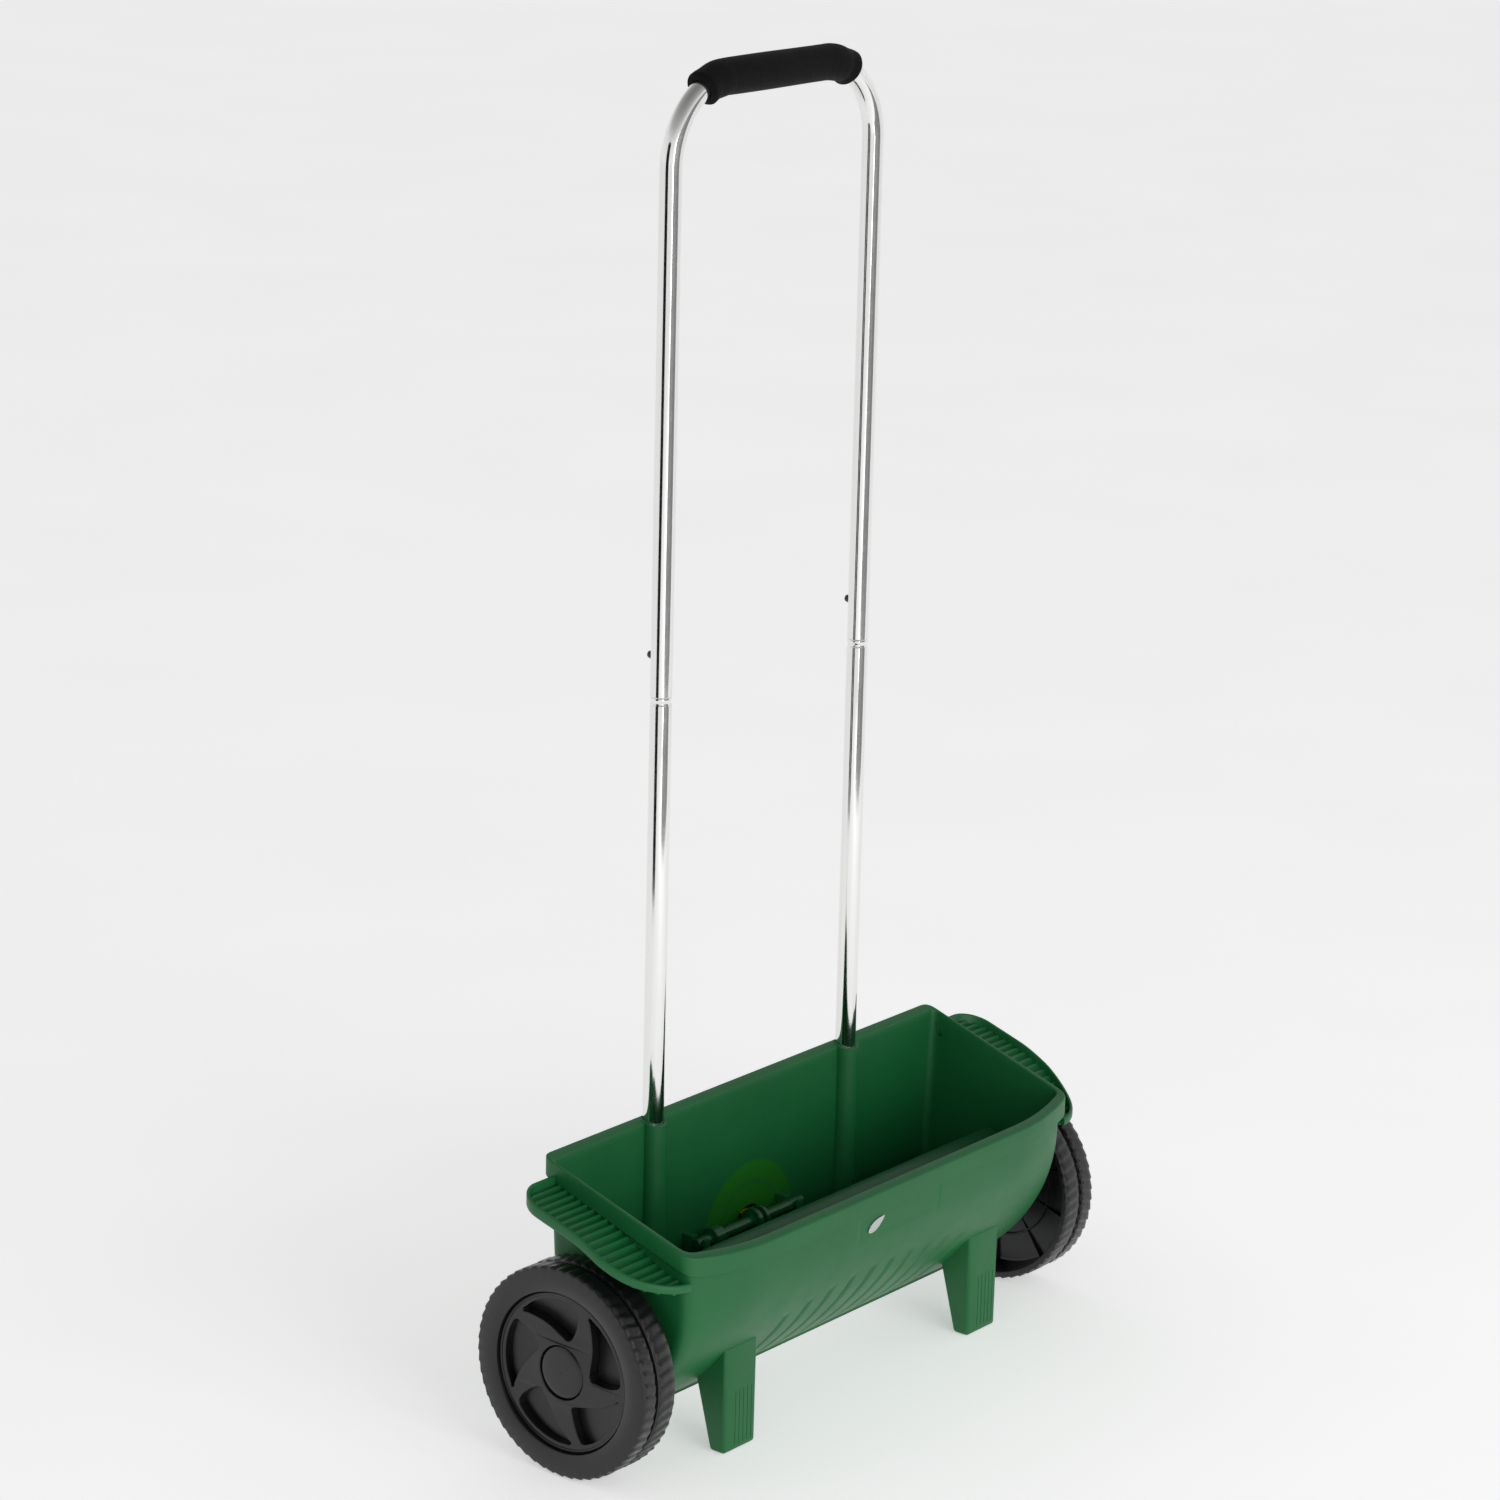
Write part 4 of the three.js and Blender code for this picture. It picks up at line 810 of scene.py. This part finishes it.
def build_hopper():
    shell = hopper_shell()
    cutters = [rod_z("bore", 79, 250, side * HANDLE_X, HANDLE_Y, BORE_R, GREEN) for side in (-1, 1)]
    slots = []
    for i in range(SLOTS):
        x = (i - (SLOTS - 1) / 2) * SLOT_PITCH
        slots.append(block("slot", x - 7, x + 7, SLOT_Y - 5, SLOT_Y + 5, 30, 37, GREEN))
    slots.append(block("slot", -64.6, -35.5, 37.9, 42.6, 30, 48, GREEN))
    axle_profile = [(0.01, -240), (7.3, -240), (7.3, 240), (0.01, 240)]
    axle_hole = lathe_x("hole", axle_profile, 0, 1, 0, AXLE_Z, GREEN, 48, closed=False)
    shaft_hole = rod_y("hole", 48, 53, 0, DIAL_Z, 5.4, GREEN)
    bosses = [socket_boss(side) for side in (-1, 1)]
    shell = boolean(shell, bosses, "UNION")
    cutters += [joined("slots", slots), axle_hole, shaft_hole, crank_slot_cutter(48, 53)]
    shell = boolean(shell, cutters, "DIFFERENCE")
    pieces = [shell]
    for side in (-1, 1):
        pieces += [end_tray(side), front_leg(side), bar_cradle(side)]
    pieces += [spindle_saddle(-77.0), spindle_saddle(35.0)]
    hopper = joined("hopper_body", pieces)
    shade_smooth(hopper, 38.0)
    stand_for(hopper, "frame", "hopper", slot="green_plastic")


build_hopper()

# ---------------------------------------------------------------- handle


def handle_line(sweep, foot=None, steps=24):
    """Points and outward normals along the handle's centre line, in its own X-Z plane."""
    centre_x, centre_z = HANDLE_X - BEND_R, HANDLE_TOP_Z - BEND_R
    right = []
    for i in range(steps + 1):
        a = sweep * i / steps
        spot = (centre_x + BEND_R * math.sin(a), centre_z + BEND_R * math.cos(a))
        right.append((spot, (math.sin(a), math.cos(a))))
    if foot is not None:
        for i in range(1, 13):
            z = centre_z + (foot - centre_z) * i / 12
            right.append(((HANDLE_X, z), (1.0, 0.0)))
    left = [((-x, z), (-nx, nz)) for (x, z), (nx, nz) in reversed(right)]
    middle = [((centre_x * (2 * i / 12 - 1), HANDLE_TOP_Z), (0.0, 1.0)) for i in range(1, 12)]
    return left + middle + right


def ring_across(spot, radius, sides):
    """Points round the handle's centre line at one spot of it."""
    (x, z), (nx, nz) = spot
    ring = []
    for k in range(sides):
        a = 2 * math.pi * k / sides
        run = math.cos(a)
        ring.append(at(x + nx * radius * run, HANDLE_Y + radius * math.sin(a), z + nz * radius * run))
    return ring


def swept_tube(name, line, outer, inner, material, sides=64):
    """A tube along the line; outer is a function of the share of the way along it."""
    last = len(line) - 1
    rings = [ring_across(spot, outer(i / last), sides) for i, spot in enumerate(line)]
    rings += [ring_across(spot, inner, sides) for spot in reversed(line)]
    return skin(name, rings, material, close_rows=True)


def button_hole(side):
    return rod_y(
        "hole", HANDLE_Y, HANDLE_Y + 10, side * HANDLE_X, BUTTON_Z, BUTTON_HOLE_R, CHROME, 40
    )


def lower_tube_profile():
    """(radius, z) round a lower tube's wall, with the crimped ring and the neck at its top."""
    crimp = [
        (8.0, -7.0), (7.85, -6.2), (7.2, -5.4), (7.05, -4.6), (7.2, -3.8),
        (7.75, -3.0), (7.95, -2.0), (7.9, -0.9), (7.4, -0.2), (6.7, 0.3),
    ]
    profile = [(7.0, 80.0), (7.9, 80.0), (8.0, 80.4)]
    profile += [(radius, TUBE_JOINT_Z + rise) for radius, rise in crimp]
    profile += [(6.7, 587.6), (6.5, 588.0), (5.7, 588.0)]
    return profile + [(5.7, TUBE_JOINT_Z - 8.0), (7.0, TUBE_JOINT_Z - 12.0)]


def build_handle():
    line = handle_line(math.radians(90), TUBE_JOINT_Z + 0.3)
    upper = swept_tube("upper_tube", line, lambda share: TUBE_R, 7.0, CHROME)
    boolean(upper, [button_hole(side) for side in (-1, 1)], "DIFFERENCE")
    shade_smooth(upper)
    stand_for(upper, "frame", "handle_upper_tube", slot="bright_tube")
    for name, side in (("left", -1), ("right", 1)):
        rings = [ring_z(side * HANDLE_X, HANDLE_Y, z, radius, 64) for radius, z in lower_tube_profile()]
        tube = skin(f"lower_tube_{name}", rings, CHROME, close_rows=True, sharp=50.0)
        boolean(tube, [button_hole(side)], "DIFFERENCE")
        shade_smooth(tube, 50.0)
        stand_for(tube, "frame", f"handle_lower_tube_{name}", slot="bright_tube")


build_handle()


def build_grip():
    """The foam sleeve: thicker in the middle, with rolled ends and a slightly uneven skin."""
    draw = random.Random(7)
    waves = [(draw.uniform(2, 9), draw.uniform(0, 6.28), draw.uniform(0.03, 0.10)) for _ in range(7)]

    def radius(share):
        from_end = min(share, 1 - share)
        roll = GRIP_R - 1.4 * (1 - smooth(from_end / 0.035)) ** 2
        neck = 0.5 * math.exp(-(((from_end - 0.14) / 0.06) ** 2))
        ripple = sum(size * math.sin(rate * share * 6.28 + shift) for rate, shift, size in waves)
        return min(GRIP_R, roll - neck - 0.15 + ripple * 0.6)

    line = handle_line(GRIP_SWEEP, steps=30)
    grip = swept_tube("foam_sleeve", line, radius, TUBE_R + 0.3, FOAM, 72)
    shade_smooth(grip, 60.0)
    stand_for(grip, "frame", "foam_grip", slot="foam")


build_grip()


def build_buttons():
    tip = TUBE_R + 4.8
    dome = [(3.0, 3.0), (2.85, 2.0), (2.4, 1.0), (1.6, 0.35), (0.7, 0.05)]  # (radius, below the tip)
    profile = [(3.0, 4.5)] + [(radius, tip - below) for radius, below in dome]
    for name, side in (("left", -1), ("right", 1)):
        x = side * HANDLE_X
        rings = [ring_y(x, HANDLE_Y + y, BUTTON_Z, radius, 40) for radius, y in profile]
        button = skin(f"button_{name}", rings, BLACK)
        stand_for(button, f"{name}_button", f"snap_button_{name}", slot="black_plastic")


build_buttons()

# ---------------------------------------------------------------- wheels


def tread_cut(angle, station):
    """How far the tread surface sinks below the wheel's radius at an angle and a station across."""
    outer_band = station > 0.56 * WHEEL_W
    twist = 0.012 * (station - WHEEL_W / 2) * (1 if outer_band else -1)
    phase = (angle / (2 * math.pi) * TREAD_TEETH + twist * 2.2 + (0.0 if outer_band else 0.5)) % 1.0
    return 1.5 * (phase ** 1.3) if phase < 0.93 else 1.5 * (1 - phase) / 0.07


WHEEL_SECTION = [
    # (radius, station, how much of the tread pattern shows)
    (12.0, 18.0, 0), (12.0, 0.6, 0), (11.4, 0.0, 0), (4.9, 0.0, 0), (4.3, 0.6, 0),
    (4.3, 22.0, 0), (20.4, 22.0, 0), (20.4, 30.0, 0), (21.2, 31.4, 0), (22.6, 31.8, 0),
    (24.0, 31.0, 0), (24.6, 29.0, 0), (25.4, 24.6, 0), (26.0, 24.0, 0), (55.5, 24.0, 0),
    (56.6, 24.6, 0), (57.2, 27.0, 0), (57.6, 31.4, 0), (58.0, 32.4, 0), (58.8, 32.8, 0),
    (59.6, 32.4, 0), (60.0, 31.4, 0), (60.4, 31.0, 0), (60.8, 31.6, 0), (61.0, 34.4, 0),
    (61.8, 35.0, 0), (70.0, 35.0, 0), (77.6, 35.0, 0), (79.2, 34.6, 0.9), (80.0, 33.6, 1),
    (80.0, 30.0, 1), (80.0, 25.5, 1), (80.0, 22.2, 1), (79.2, 21.6, 0.6), (76.0, 21.2, 0),
    (75.4, 20.6, 0), (75.4, 18.8, 0), (76.0, 18.2, 0), (78.2, 17.9, 0), (78.6, 17.4, 0),
    (78.6, 16.9, 0), (79.4, 16.5, 0.5), (80.0, 15.6, 1), (80.0, 11.0, 1), (80.0, 6.0, 1),
    (80.0, 1.6, 1), (79.4, 0.5, 0.9), (78.4, 0.0, 0), (74.8, 0.0, 0), (74.2, 0.6, 0),
    (73.0, 16.0, 0), (71.0, 21.4, 0), (69.0, 22.0, 0), (28.0, 20.0, 0), (26.5, 18.4, 0),
    (24.8, 18.0, 0),
]


def wheel_body(side):
    columns = TREAD_TEETH * 6
    rings = []
    for radius, station, pattern in WHEEL_SECTION:
        ring = []
        for i in range(columns):
            a = 2 * math.pi * i / columns
            r = radius - pattern * tread_cut(a, station)
            ring.append(wheel_point(side, r, a, station))
        rings.append(ring)
    return skin("wheel", rings, WHEEL, close_rows=True, sharp=40.0)


def wheel_ring(side, radius, station, sides=96):
    return [wheel_point(side, radius, 2 * math.pi * i / sides, station) for i in range(sides)]


def wheel_point(side, radius, angle, station):
    """A point of a wheel; the right wheel is the left one turned half round about the upright."""
    y = radius * math.cos(angle) * (1 if side < 0 else -1)
    return at(side * (WHEEL_IN_X + station), y, AXLE_Z + radius * math.sin(angle))


POCKET_TIPS = 32.0  # degrees from the rear to the first pocket's inner tip


def pocket_outline(tip):
    """The outline of a spoke pocket: polar control points smoothed by a closed spline."""
    control = [
        (-12.0, 26.6), (-26.0, 30.4), (-38.0, 36.4), (-48.5, 43.0), (-56.5, 49.5), (-60.5, 53.8),
        (-52.0, 55.4), (-40.0, 55.6), (-28.0, 55.6), (-16.0, 55.6), (-5.0, 55.4), (0.6, 54.4),
        (4.0, 49.0), (6.0, 40.0), (5.6, 32.0), (3.6, 27.4), (-2.0, 25.6),
    ]
    points = []
    for angle, radius in control:
        a = math.radians(tip + angle)
        points.append((radius * math.cos(a), radius * math.sin(a)))
    return points


def spoke_plate(side):
    """The plate with five swept pockets; its edges are rounded by the curve's bevel."""
    curve = bpy.data.curves.new("spokes", "CURVE")
    curve.dimensions = "2D"
    curve.fill_mode = "BOTH"
    curve.extrude = 3.2 * MM
    curve.bevel_depth = 0.8 * MM
    curve.bevel_resolution = 3
    curve.resolution_u = 6

    def add_loop(points):
        spline = curve.splines.new("BEZIER")
        spline.bezier_points.add(len(points) - 1)
        for knot, (x, y) in zip(spline.bezier_points, points):
            knot.co = (x * MM, y * MM, 0)
            knot.handle_left_type = knot.handle_right_type = "AUTO"
        spline.use_cyclic_u = True

    for radius, knots in ((57.4, 24), (21.4, 16)):
        angles = [2 * math.pi * i / knots for i in range(knots)]
        add_loop([(radius * math.cos(a), radius * math.sin(a)) for a in angles])
    for k in range(5):
        add_loop(pocket_outline(POCKET_TIPS + 72 * k))
    holder = bpy.data.objects.new("spokes", curve)
    bpy.context.scene.collection.objects.link(holder)
    graph = bpy.context.evaluated_depsgraph_get()
    graph.update()
    mesh = bpy.data.meshes.new_from_object(holder.evaluated_get(graph))
    bpy.data.objects.remove(holder)
    plate = bpy.data.objects.new("spokes", mesh)
    bpy.context.scene.collection.objects.link(plate)
    mesh.materials.clear()
    mesh.materials.append(WHEEL)
    for vertex in mesh.vertices:
        x, y, z = vertex.co / MM
        radius, angle = math.hypot(x, y), math.atan2(y, x)
        hub_rise = 1.2 * smooth((34 - radius) / 12)
        station = 28.0 + z + hub_rise * (1 if z > 0 else 0)
        vertex.co = wheel_point(side, radius, angle, station)
    mesh.flip_normals()
    mesh.update()
    shade_smooth(plate, 40.0)
    return plate


def wheel_ribs(side):
    """Stiffening ribs inside the open back of the wheel."""
    pieces = []
    for k in range(10):
        middle = 2 * math.pi * (k + 0.5) / 10
        rings = []
        for station in (18.5, 22.0):
            ring = []
            for radius, across in ((23.0, -0.5), (72.5, -0.5), (72.5, 0.5), (23.0, 0.5)):
                a = middle + math.atan2(across, radius)
                ring.append(wheel_point(side, radius, a, station + (2.0 if radius < 30 else 0.0)))
            rings.append(ring)
        pieces.append(skin("rib", rings, WHEEL))
    section = [(47.4, 22.0), (47.4, 19.0), (47.8, 18.5), (48.6, 18.5), (49.0, 19.0), (49.0, 22.0)]
    rings = [wheel_ring(side, radius, station) for radius, station in section]
    pieces.append(skin("ring", rings, WHEEL, close_rows=True))
    return pieces


def hub_cap(side):
    """The domed cap: (radius, station) points out over the dome and back inside it."""
    profile = [
        (19.2, 25.0), (20.1, 25.6), (20.1, 30.6), (19.9, 31.5), (19.2, 32.3), (18.0, 32.8),
        (15.5, 33.15), (12.0, 33.35), (8.0, 33.48), (4.0, 33.5), (0.4, 33.5),
        (0.4, 31.8), (12.0, 31.6), (17.0, 31.0), (18.2, 29.5), (18.5, 25.0),
    ]
    rings = [wheel_ring(side, radius, station) for radius, station in profile]
    return skin("cap", rings, WHEEL, close_rows=True, sharp=50.0)


def build_wheels():
    for name, side, body in (("left", -1, "drive_axle"), ("right", 1, "right_wheel")):
        wheel = joined(f"spoked_wheel_{name}", [wheel_body(side), spoke_plate(side), *wheel_ribs(side)])
        fix_facing(wheel)
        stand_for(wheel, body, f"wheel_{name}", slot="wheel_plastic")
        cap = hub_cap(side)
        cap.name = f"wheel_cap_{name}"
        fix_facing(cap)
        stand_for(cap, body, f"hub_cap_{name}", slot="wheel_plastic")


def fix_facing(obj):
    """Turns every closed island's faces outwards."""
    work = bmesh.new()
    work.from_mesh(obj.data)
    bmesh.ops.recalc_face_normals(work, faces=work.faces)
    work.to_mesh(obj.data)
    work.free()


build_wheels()

# ---------------------------------------------------------------- load bar and flow spindle


def build_load_bar():
    """The round bar with domed ends and a short pin at each end."""
    end = 216.0
    half = [(0.4, end + 7.7), (3.6, end + 7.7), (4.0, end + 7.3), (4.0, end), (9.0, end)]
    for step in range(7):
        a = math.radians(15 * step)
        half.append((9.0 + 5.0 * math.sin(a), end - 5.0 + 5.0 * math.cos(a)))
    profile = half + [(r, -s) for r, s in reversed(half)]
    bar = lathe_x("round_bar", profile, 0, 1, BAR_Y, BAR_Z, COATED, 72, closed=False)
    fix_facing(bar)
    stand_for(bar, "frame", "load_bar", slot="coated_steel")


def build_spindle():
    """The stepped spindle with its grooved collar and the flat arm down to the shutter."""
    collar = -CRANK_R * math.sin(CRANK_HALF)
    knuckle = [(5.2, -5.6), (7.8, -5.2), (8.5, -4.5), (8.5, 4.5), (7.8, 5.2), (5.2, 5.6)]
    half_collar = [(5.4, 6.4), (9.2, 6.1), (10.0, 5.4), (10.0, 2.7), (9.7, 2.4), (6.5, 2.4)]
    profile = [(0.4, -82.0), (3.7, -82.0), (4.5, -81.2), (4.5, -66.0)]
    profile += [(radius, KNUCKLE_X + run) for radius, run in knuckle]
    profile += [(4.5, -54.0), (4.5, collar - 7.0)]
    profile += [(radius, collar - run) for radius, run in half_collar]
    profile += [(radius, collar + run) for radius, run in reversed(half_collar)]
    profile += [(4.5, collar + 7.0), (4.5, 25.0), (4.5, 43.2), (3.7, 44.0), (0.4, 44.0)]
    spindle = lathe_x(
        "stepped_spindle", profile, 0, 1, SPINDLE_Y, SPINDLE_Z, DARK_GREEN, 64, closed=False, sharp=30.0
    )
    arm_x = (KNUCKLE_X - 4.0, KNUCKLE_X + 4.0)
    arm = block("arm", *arm_x, 38.5, 42.0, 29.0, SPINDLE_Z, DARK_GREEN, 0.5)
    spindle = joined("stepped_spindle", [spindle, arm])
    fix_facing(spindle)
    stand_for(spindle, "shutter", "flow_spindle", slot="dark_green_plastic")


build_load_bar()
build_spindle()

# ---------------------------------------------------------------- dial on the rear wall


def polar_block(radius0, radius1, angle, half_width, y0, y1, material, bevel=0.0):
    """A small block on the dial's plane, long along a radius; angle is clockwise from the top."""
    ca, sa = math.cos(angle), math.sin(angle)

    def corner(radius, across, y):
        return at(radius * sa + across * ca, y, DIAL_Z + radius * ca - across * sa)

    w = half_width
    outline = ((radius0, -w), (radius0, w), (radius1, w), (radius1, -w))
    corners = [corner(radius, across, y) for y in (y0, y1) for radius, across in outline]
    return hexahedron("mark", corners, material, bevel)


def build_scale(back):
    """The yellow disc behind the knob, with plain marks in place of numbers."""
    section = [
        (5.4, 0.0), (5.4, 1.6), (SCALE_R - 2.0, 1.6), (SCALE_R - 1.5, 2.0),
        (SCALE_R - 0.5, 2.0), (SCALE_R, 1.5), (SCALE_R, 0.0),
    ]
    rings = [ring_y(0, back + out, DIAL_Z, radius, DIAL_SIDES, turn=1) for radius, out in section]
    plate = skin("scale", rings, YELLOW, close_rows=True)
    plate = boolean(plate, [crank_slot_cutter(back - 1, back + 3)], "DIFFERENCE")
    marks = [plate]
    for i in range(9):
        angle = math.radians(-40 + 10 * i + 180)
        long_mark = i % 2 == 0
        end = 43.0 if long_mark else 38.0
        marks.append(polar_block(33.0, end, angle, 0.7, back + 1.2, back + 2.0, BLACK))
    for step in range(24):
        angle = math.radians(-42 + 3.5 * step + 180)
        width = 0.5 + 2.2 * step / 23
        marks.append(polar_block(46.0, 46.0 + width, angle, 1.3, back + 1.2, back + 2.0, BLACK))
    scale = joined("scale_disc", marks)
    fix_facing(scale)
    shade_smooth(scale)
    stand_for(scale, "frame", "dial_scale", slot="scale_plastic")


def knob_disc(base):
    """The knob's round body, with 16 shallow scallops round its edge."""
    section = [(0.0, 0.0), (0.93, 0.0), (1.0, 0.6), (1.0, 4.6), (0.95, 5.6), (0.8, 6.0), (0.3, 6.0), (0.0, 6.0)]
    rings = []
    for share, out in section:
        ring = []
        for i in range(DIAL_SIDES):
            a = 2 * math.pi * i / DIAL_SIDES
            grip = 1 - 0.025 * (0.5 + 0.5 * math.cos(16 * a)) if share >= 0.93 else 1.0
            r = max(0.02, KNOB_R * share) * grip
            ring.append(at(r * math.cos(a), base + out, DIAL_Z + r * math.sin(a)))
        rings.append(ring)
    return skin("knob", rings, BLACK)


def build_dial():
    back = REAR_WALL_Y + 0.3
    build_scale(back)
    base = back + 2.3
    knob = knob_disc(base)
    bar = block("finger_bar", -5, 5, base + 5, base + 14, DIAL_Z - 22, DIAL_Z + 25, BLACK, 2.2, 4)
    shaft = rod_y("shaft", 48.4, base + 1, 0, DIAL_Z, 5.0, BLACK)
    bore = rod_y("bore", 47, base + 2, 0, DIAL_Z, 1.7, BLACK, 24)
    boolean(shaft, [bore], "DIFFERENCE")
    pin_x, pin_z = -CRANK_R * math.sin(CRANK_HALF), DIAL_Z + CRANK_R * math.cos(CRANK_HALF)
    pin = rod_y("pin", SPINDLE_Y + 7, base + 1, pin_x, pin_z, 1.8, BLACK, 32)
    pointer = polar_block(14.0, 26.0, math.radians(180), 0.8, base + 5.7, base + 6.4, YELLOW, 0.2)
    dial = joined("dial_knob", [knob, bar, shaft, pin, pointer])
    fix_facing(dial)
    shade_smooth(dial)
    stand_for(dial, "dial", "flow_dial", slot="black_plastic")


build_dial()

# ---------------------------------------------------------------- badge


def build_badge():
    """A plain raised leaf, in place of any lettering."""
    rings = []
    steps = 40
    tilt = math.radians(24)
    for scale, lift in ((1.0, 0.0), (1.0, 0.35), (0.94, 0.6), (0.6, 0.7), (0.05, 0.7)):
        ring = []
        for i in range(steps):
            a = 2 * math.pi * i / steps
            taper = (1 - 0.35 * math.cos(a)) * abs(math.sin(a)) ** 0.35
            x, z = 10.5 * math.cos(a) * scale, 3.7 * math.sin(a) * taper * scale
            px = x * math.cos(tilt) - z * math.sin(tilt)
            pz = x * math.sin(tilt) + z * math.cos(tilt)
            ring.append(at(px - 24.0, FRONT_WALL_Y + 0.1 - lift, 146.0 + pz))
        rings.append(ring)
    leaf = skin("leaf_mark", rings, SILVER)
    fix_facing(leaf)
    stand_for(leaf, "frame", "leaf_badge", slot="badge_silver")


build_badge()

# ---------------------------------------------------------------- stage, light and camera


def build_stage():
    half, z = 30, -0.0005
    corners = [(-half, -half, z), (half, -half, z), (half, half, z), (-half, half, z)]
    floor = mesh_object("floor", corners, [(0, 1, 2, 3)], stage_paint())


def stage_paint():
    n = Nodes("stage_paint")
    paint = n.ramp(n.noise(3.0, 2.0), [(0.3, (0.90, 0.90, 0.90)), (0.7, (0.93, 0.93, 0.93))])
    n.link(paint, n.shader.inputs["Base Color"])
    glow = {"Emission_Color": (1, 1, 1, 1), "Emission_Strength": 0.42}
    return n.finish(Roughness=0.9, Specular_IOR_Level=0.1, **glow)


def reflection_card(name, middle, width, grey):
    """An upright studio card that only reflections see; it gives the bright tubes their dark stripe."""
    foot = Vector((*middle, 0))
    away = foot.normalized()
    across = Vector((-away.y, away.x, 0)) * (width / 2)
    bottom, top = Vector((0, 0, 0.02)), Vector((0, 0, 1.5))
    left, right = foot - across, foot + across
    verts = [left + bottom, right + bottom, right + top, left + top]
    n = Nodes(name)
    colour = (grey, grey, grey)
    paint = n.ramp(n.noise(4.0, 2.0), [(0.3, shade(colour, 0.9)), (0.7, shade(colour, 1.1))])
    n.link(paint, n.shader.inputs["Base Color"])
    card = mesh_object(name, verts, [(0, 1, 2, 3)], n.finish(Roughness=1.0, Specular_IOR_Level=0.0))
    card.visible_camera = False
    card.visible_diffuse = False
    card.visible_shadow = False
    card.visible_transmission = False


def build_world():
    """Soft studio surround: bright towards the horizon and darker overhead."""
    world = bpy.data.worlds.new("studio")
    bpy.context.scene.world = world
    world.use_nodes = True
    tree = world.node_tree
    tree.nodes.clear()
    out = tree.nodes.new("ShaderNodeOutputWorld")
    background = tree.nodes.new("ShaderNodeBackground")
    coords = tree.nodes.new("ShaderNodeTexCoord")
    split = tree.nodes.new("ShaderNodeSeparateXYZ")
    tree.links.new(coords.outputs["Generated"], split.inputs[0])
    height = tree.nodes.new("ShaderNodeValToRGB")
    stops = [(0.0, 0.9), (0.35, 0.8), (0.62, 0.42), (1.0, 0.2)]
    while len(height.color_ramp.elements) < len(stops):
        height.color_ramp.elements.new(0.5)
    for element, (place, value) in zip(height.color_ramp.elements, stops):
        element.position = place
        element.color = (value, value, value, 1)
    tree.links.new(split.outputs["Z"], height.inputs["Fac"])
    tree.links.new(height.outputs["Color"], background.inputs["Color"])
    background.inputs["Strength"].default_value = 1.0
    tree.links.new(background.outputs[0], out.inputs[0])


def area_light(name, place, target, size, power):
    light = bpy.data.lights.new(name, "AREA")
    light.shape = "RECTANGLE"
    light.size, light.size_y = size
    light.energy = power
    obj = bpy.data.objects.new(name, light)
    bpy.context.scene.collection.objects.link(obj)
    obj.location = place
    direction = Vector(target) - Vector(place)
    obj.rotation_euler = direction.to_track_quat("-Z", "Y").to_euler()


def build_camera():
    place = Vector((-2.6636, -2.0653, 1.4478))
    target = Vector((-0.0739, 0.0080, 0.5035))
    data = bpy.data.cameras.new("camera")
    data.sensor_width = 36.0
    data.lens = 114.316
    camera = bpy.data.objects.new("camera", data)
    bpy.context.scene.collection.objects.link(camera)
    aim = (target - place).to_track_quat("-Z", "Y").to_matrix().to_4x4()
    camera.matrix_world = Matrix.Translation(place) @ aim @ Matrix.Rotation(math.radians(1.38), 4, "Z")
    bpy.context.scene.camera = camera


build_stage()
build_world()
area_light("key", (-0.6, -3.2, 1.0), (0.0, 0.0, 0.2), (2.6, 1.8), 45)
reflection_card("dark_card", (-1.5, 0.06), 0.75, 0.012)
reflection_card("grey_card", (0.2, -1.7), 2.2, 0.30)
build_camera()
bpy.context.scene.view_settings.view_transform = "Standard"
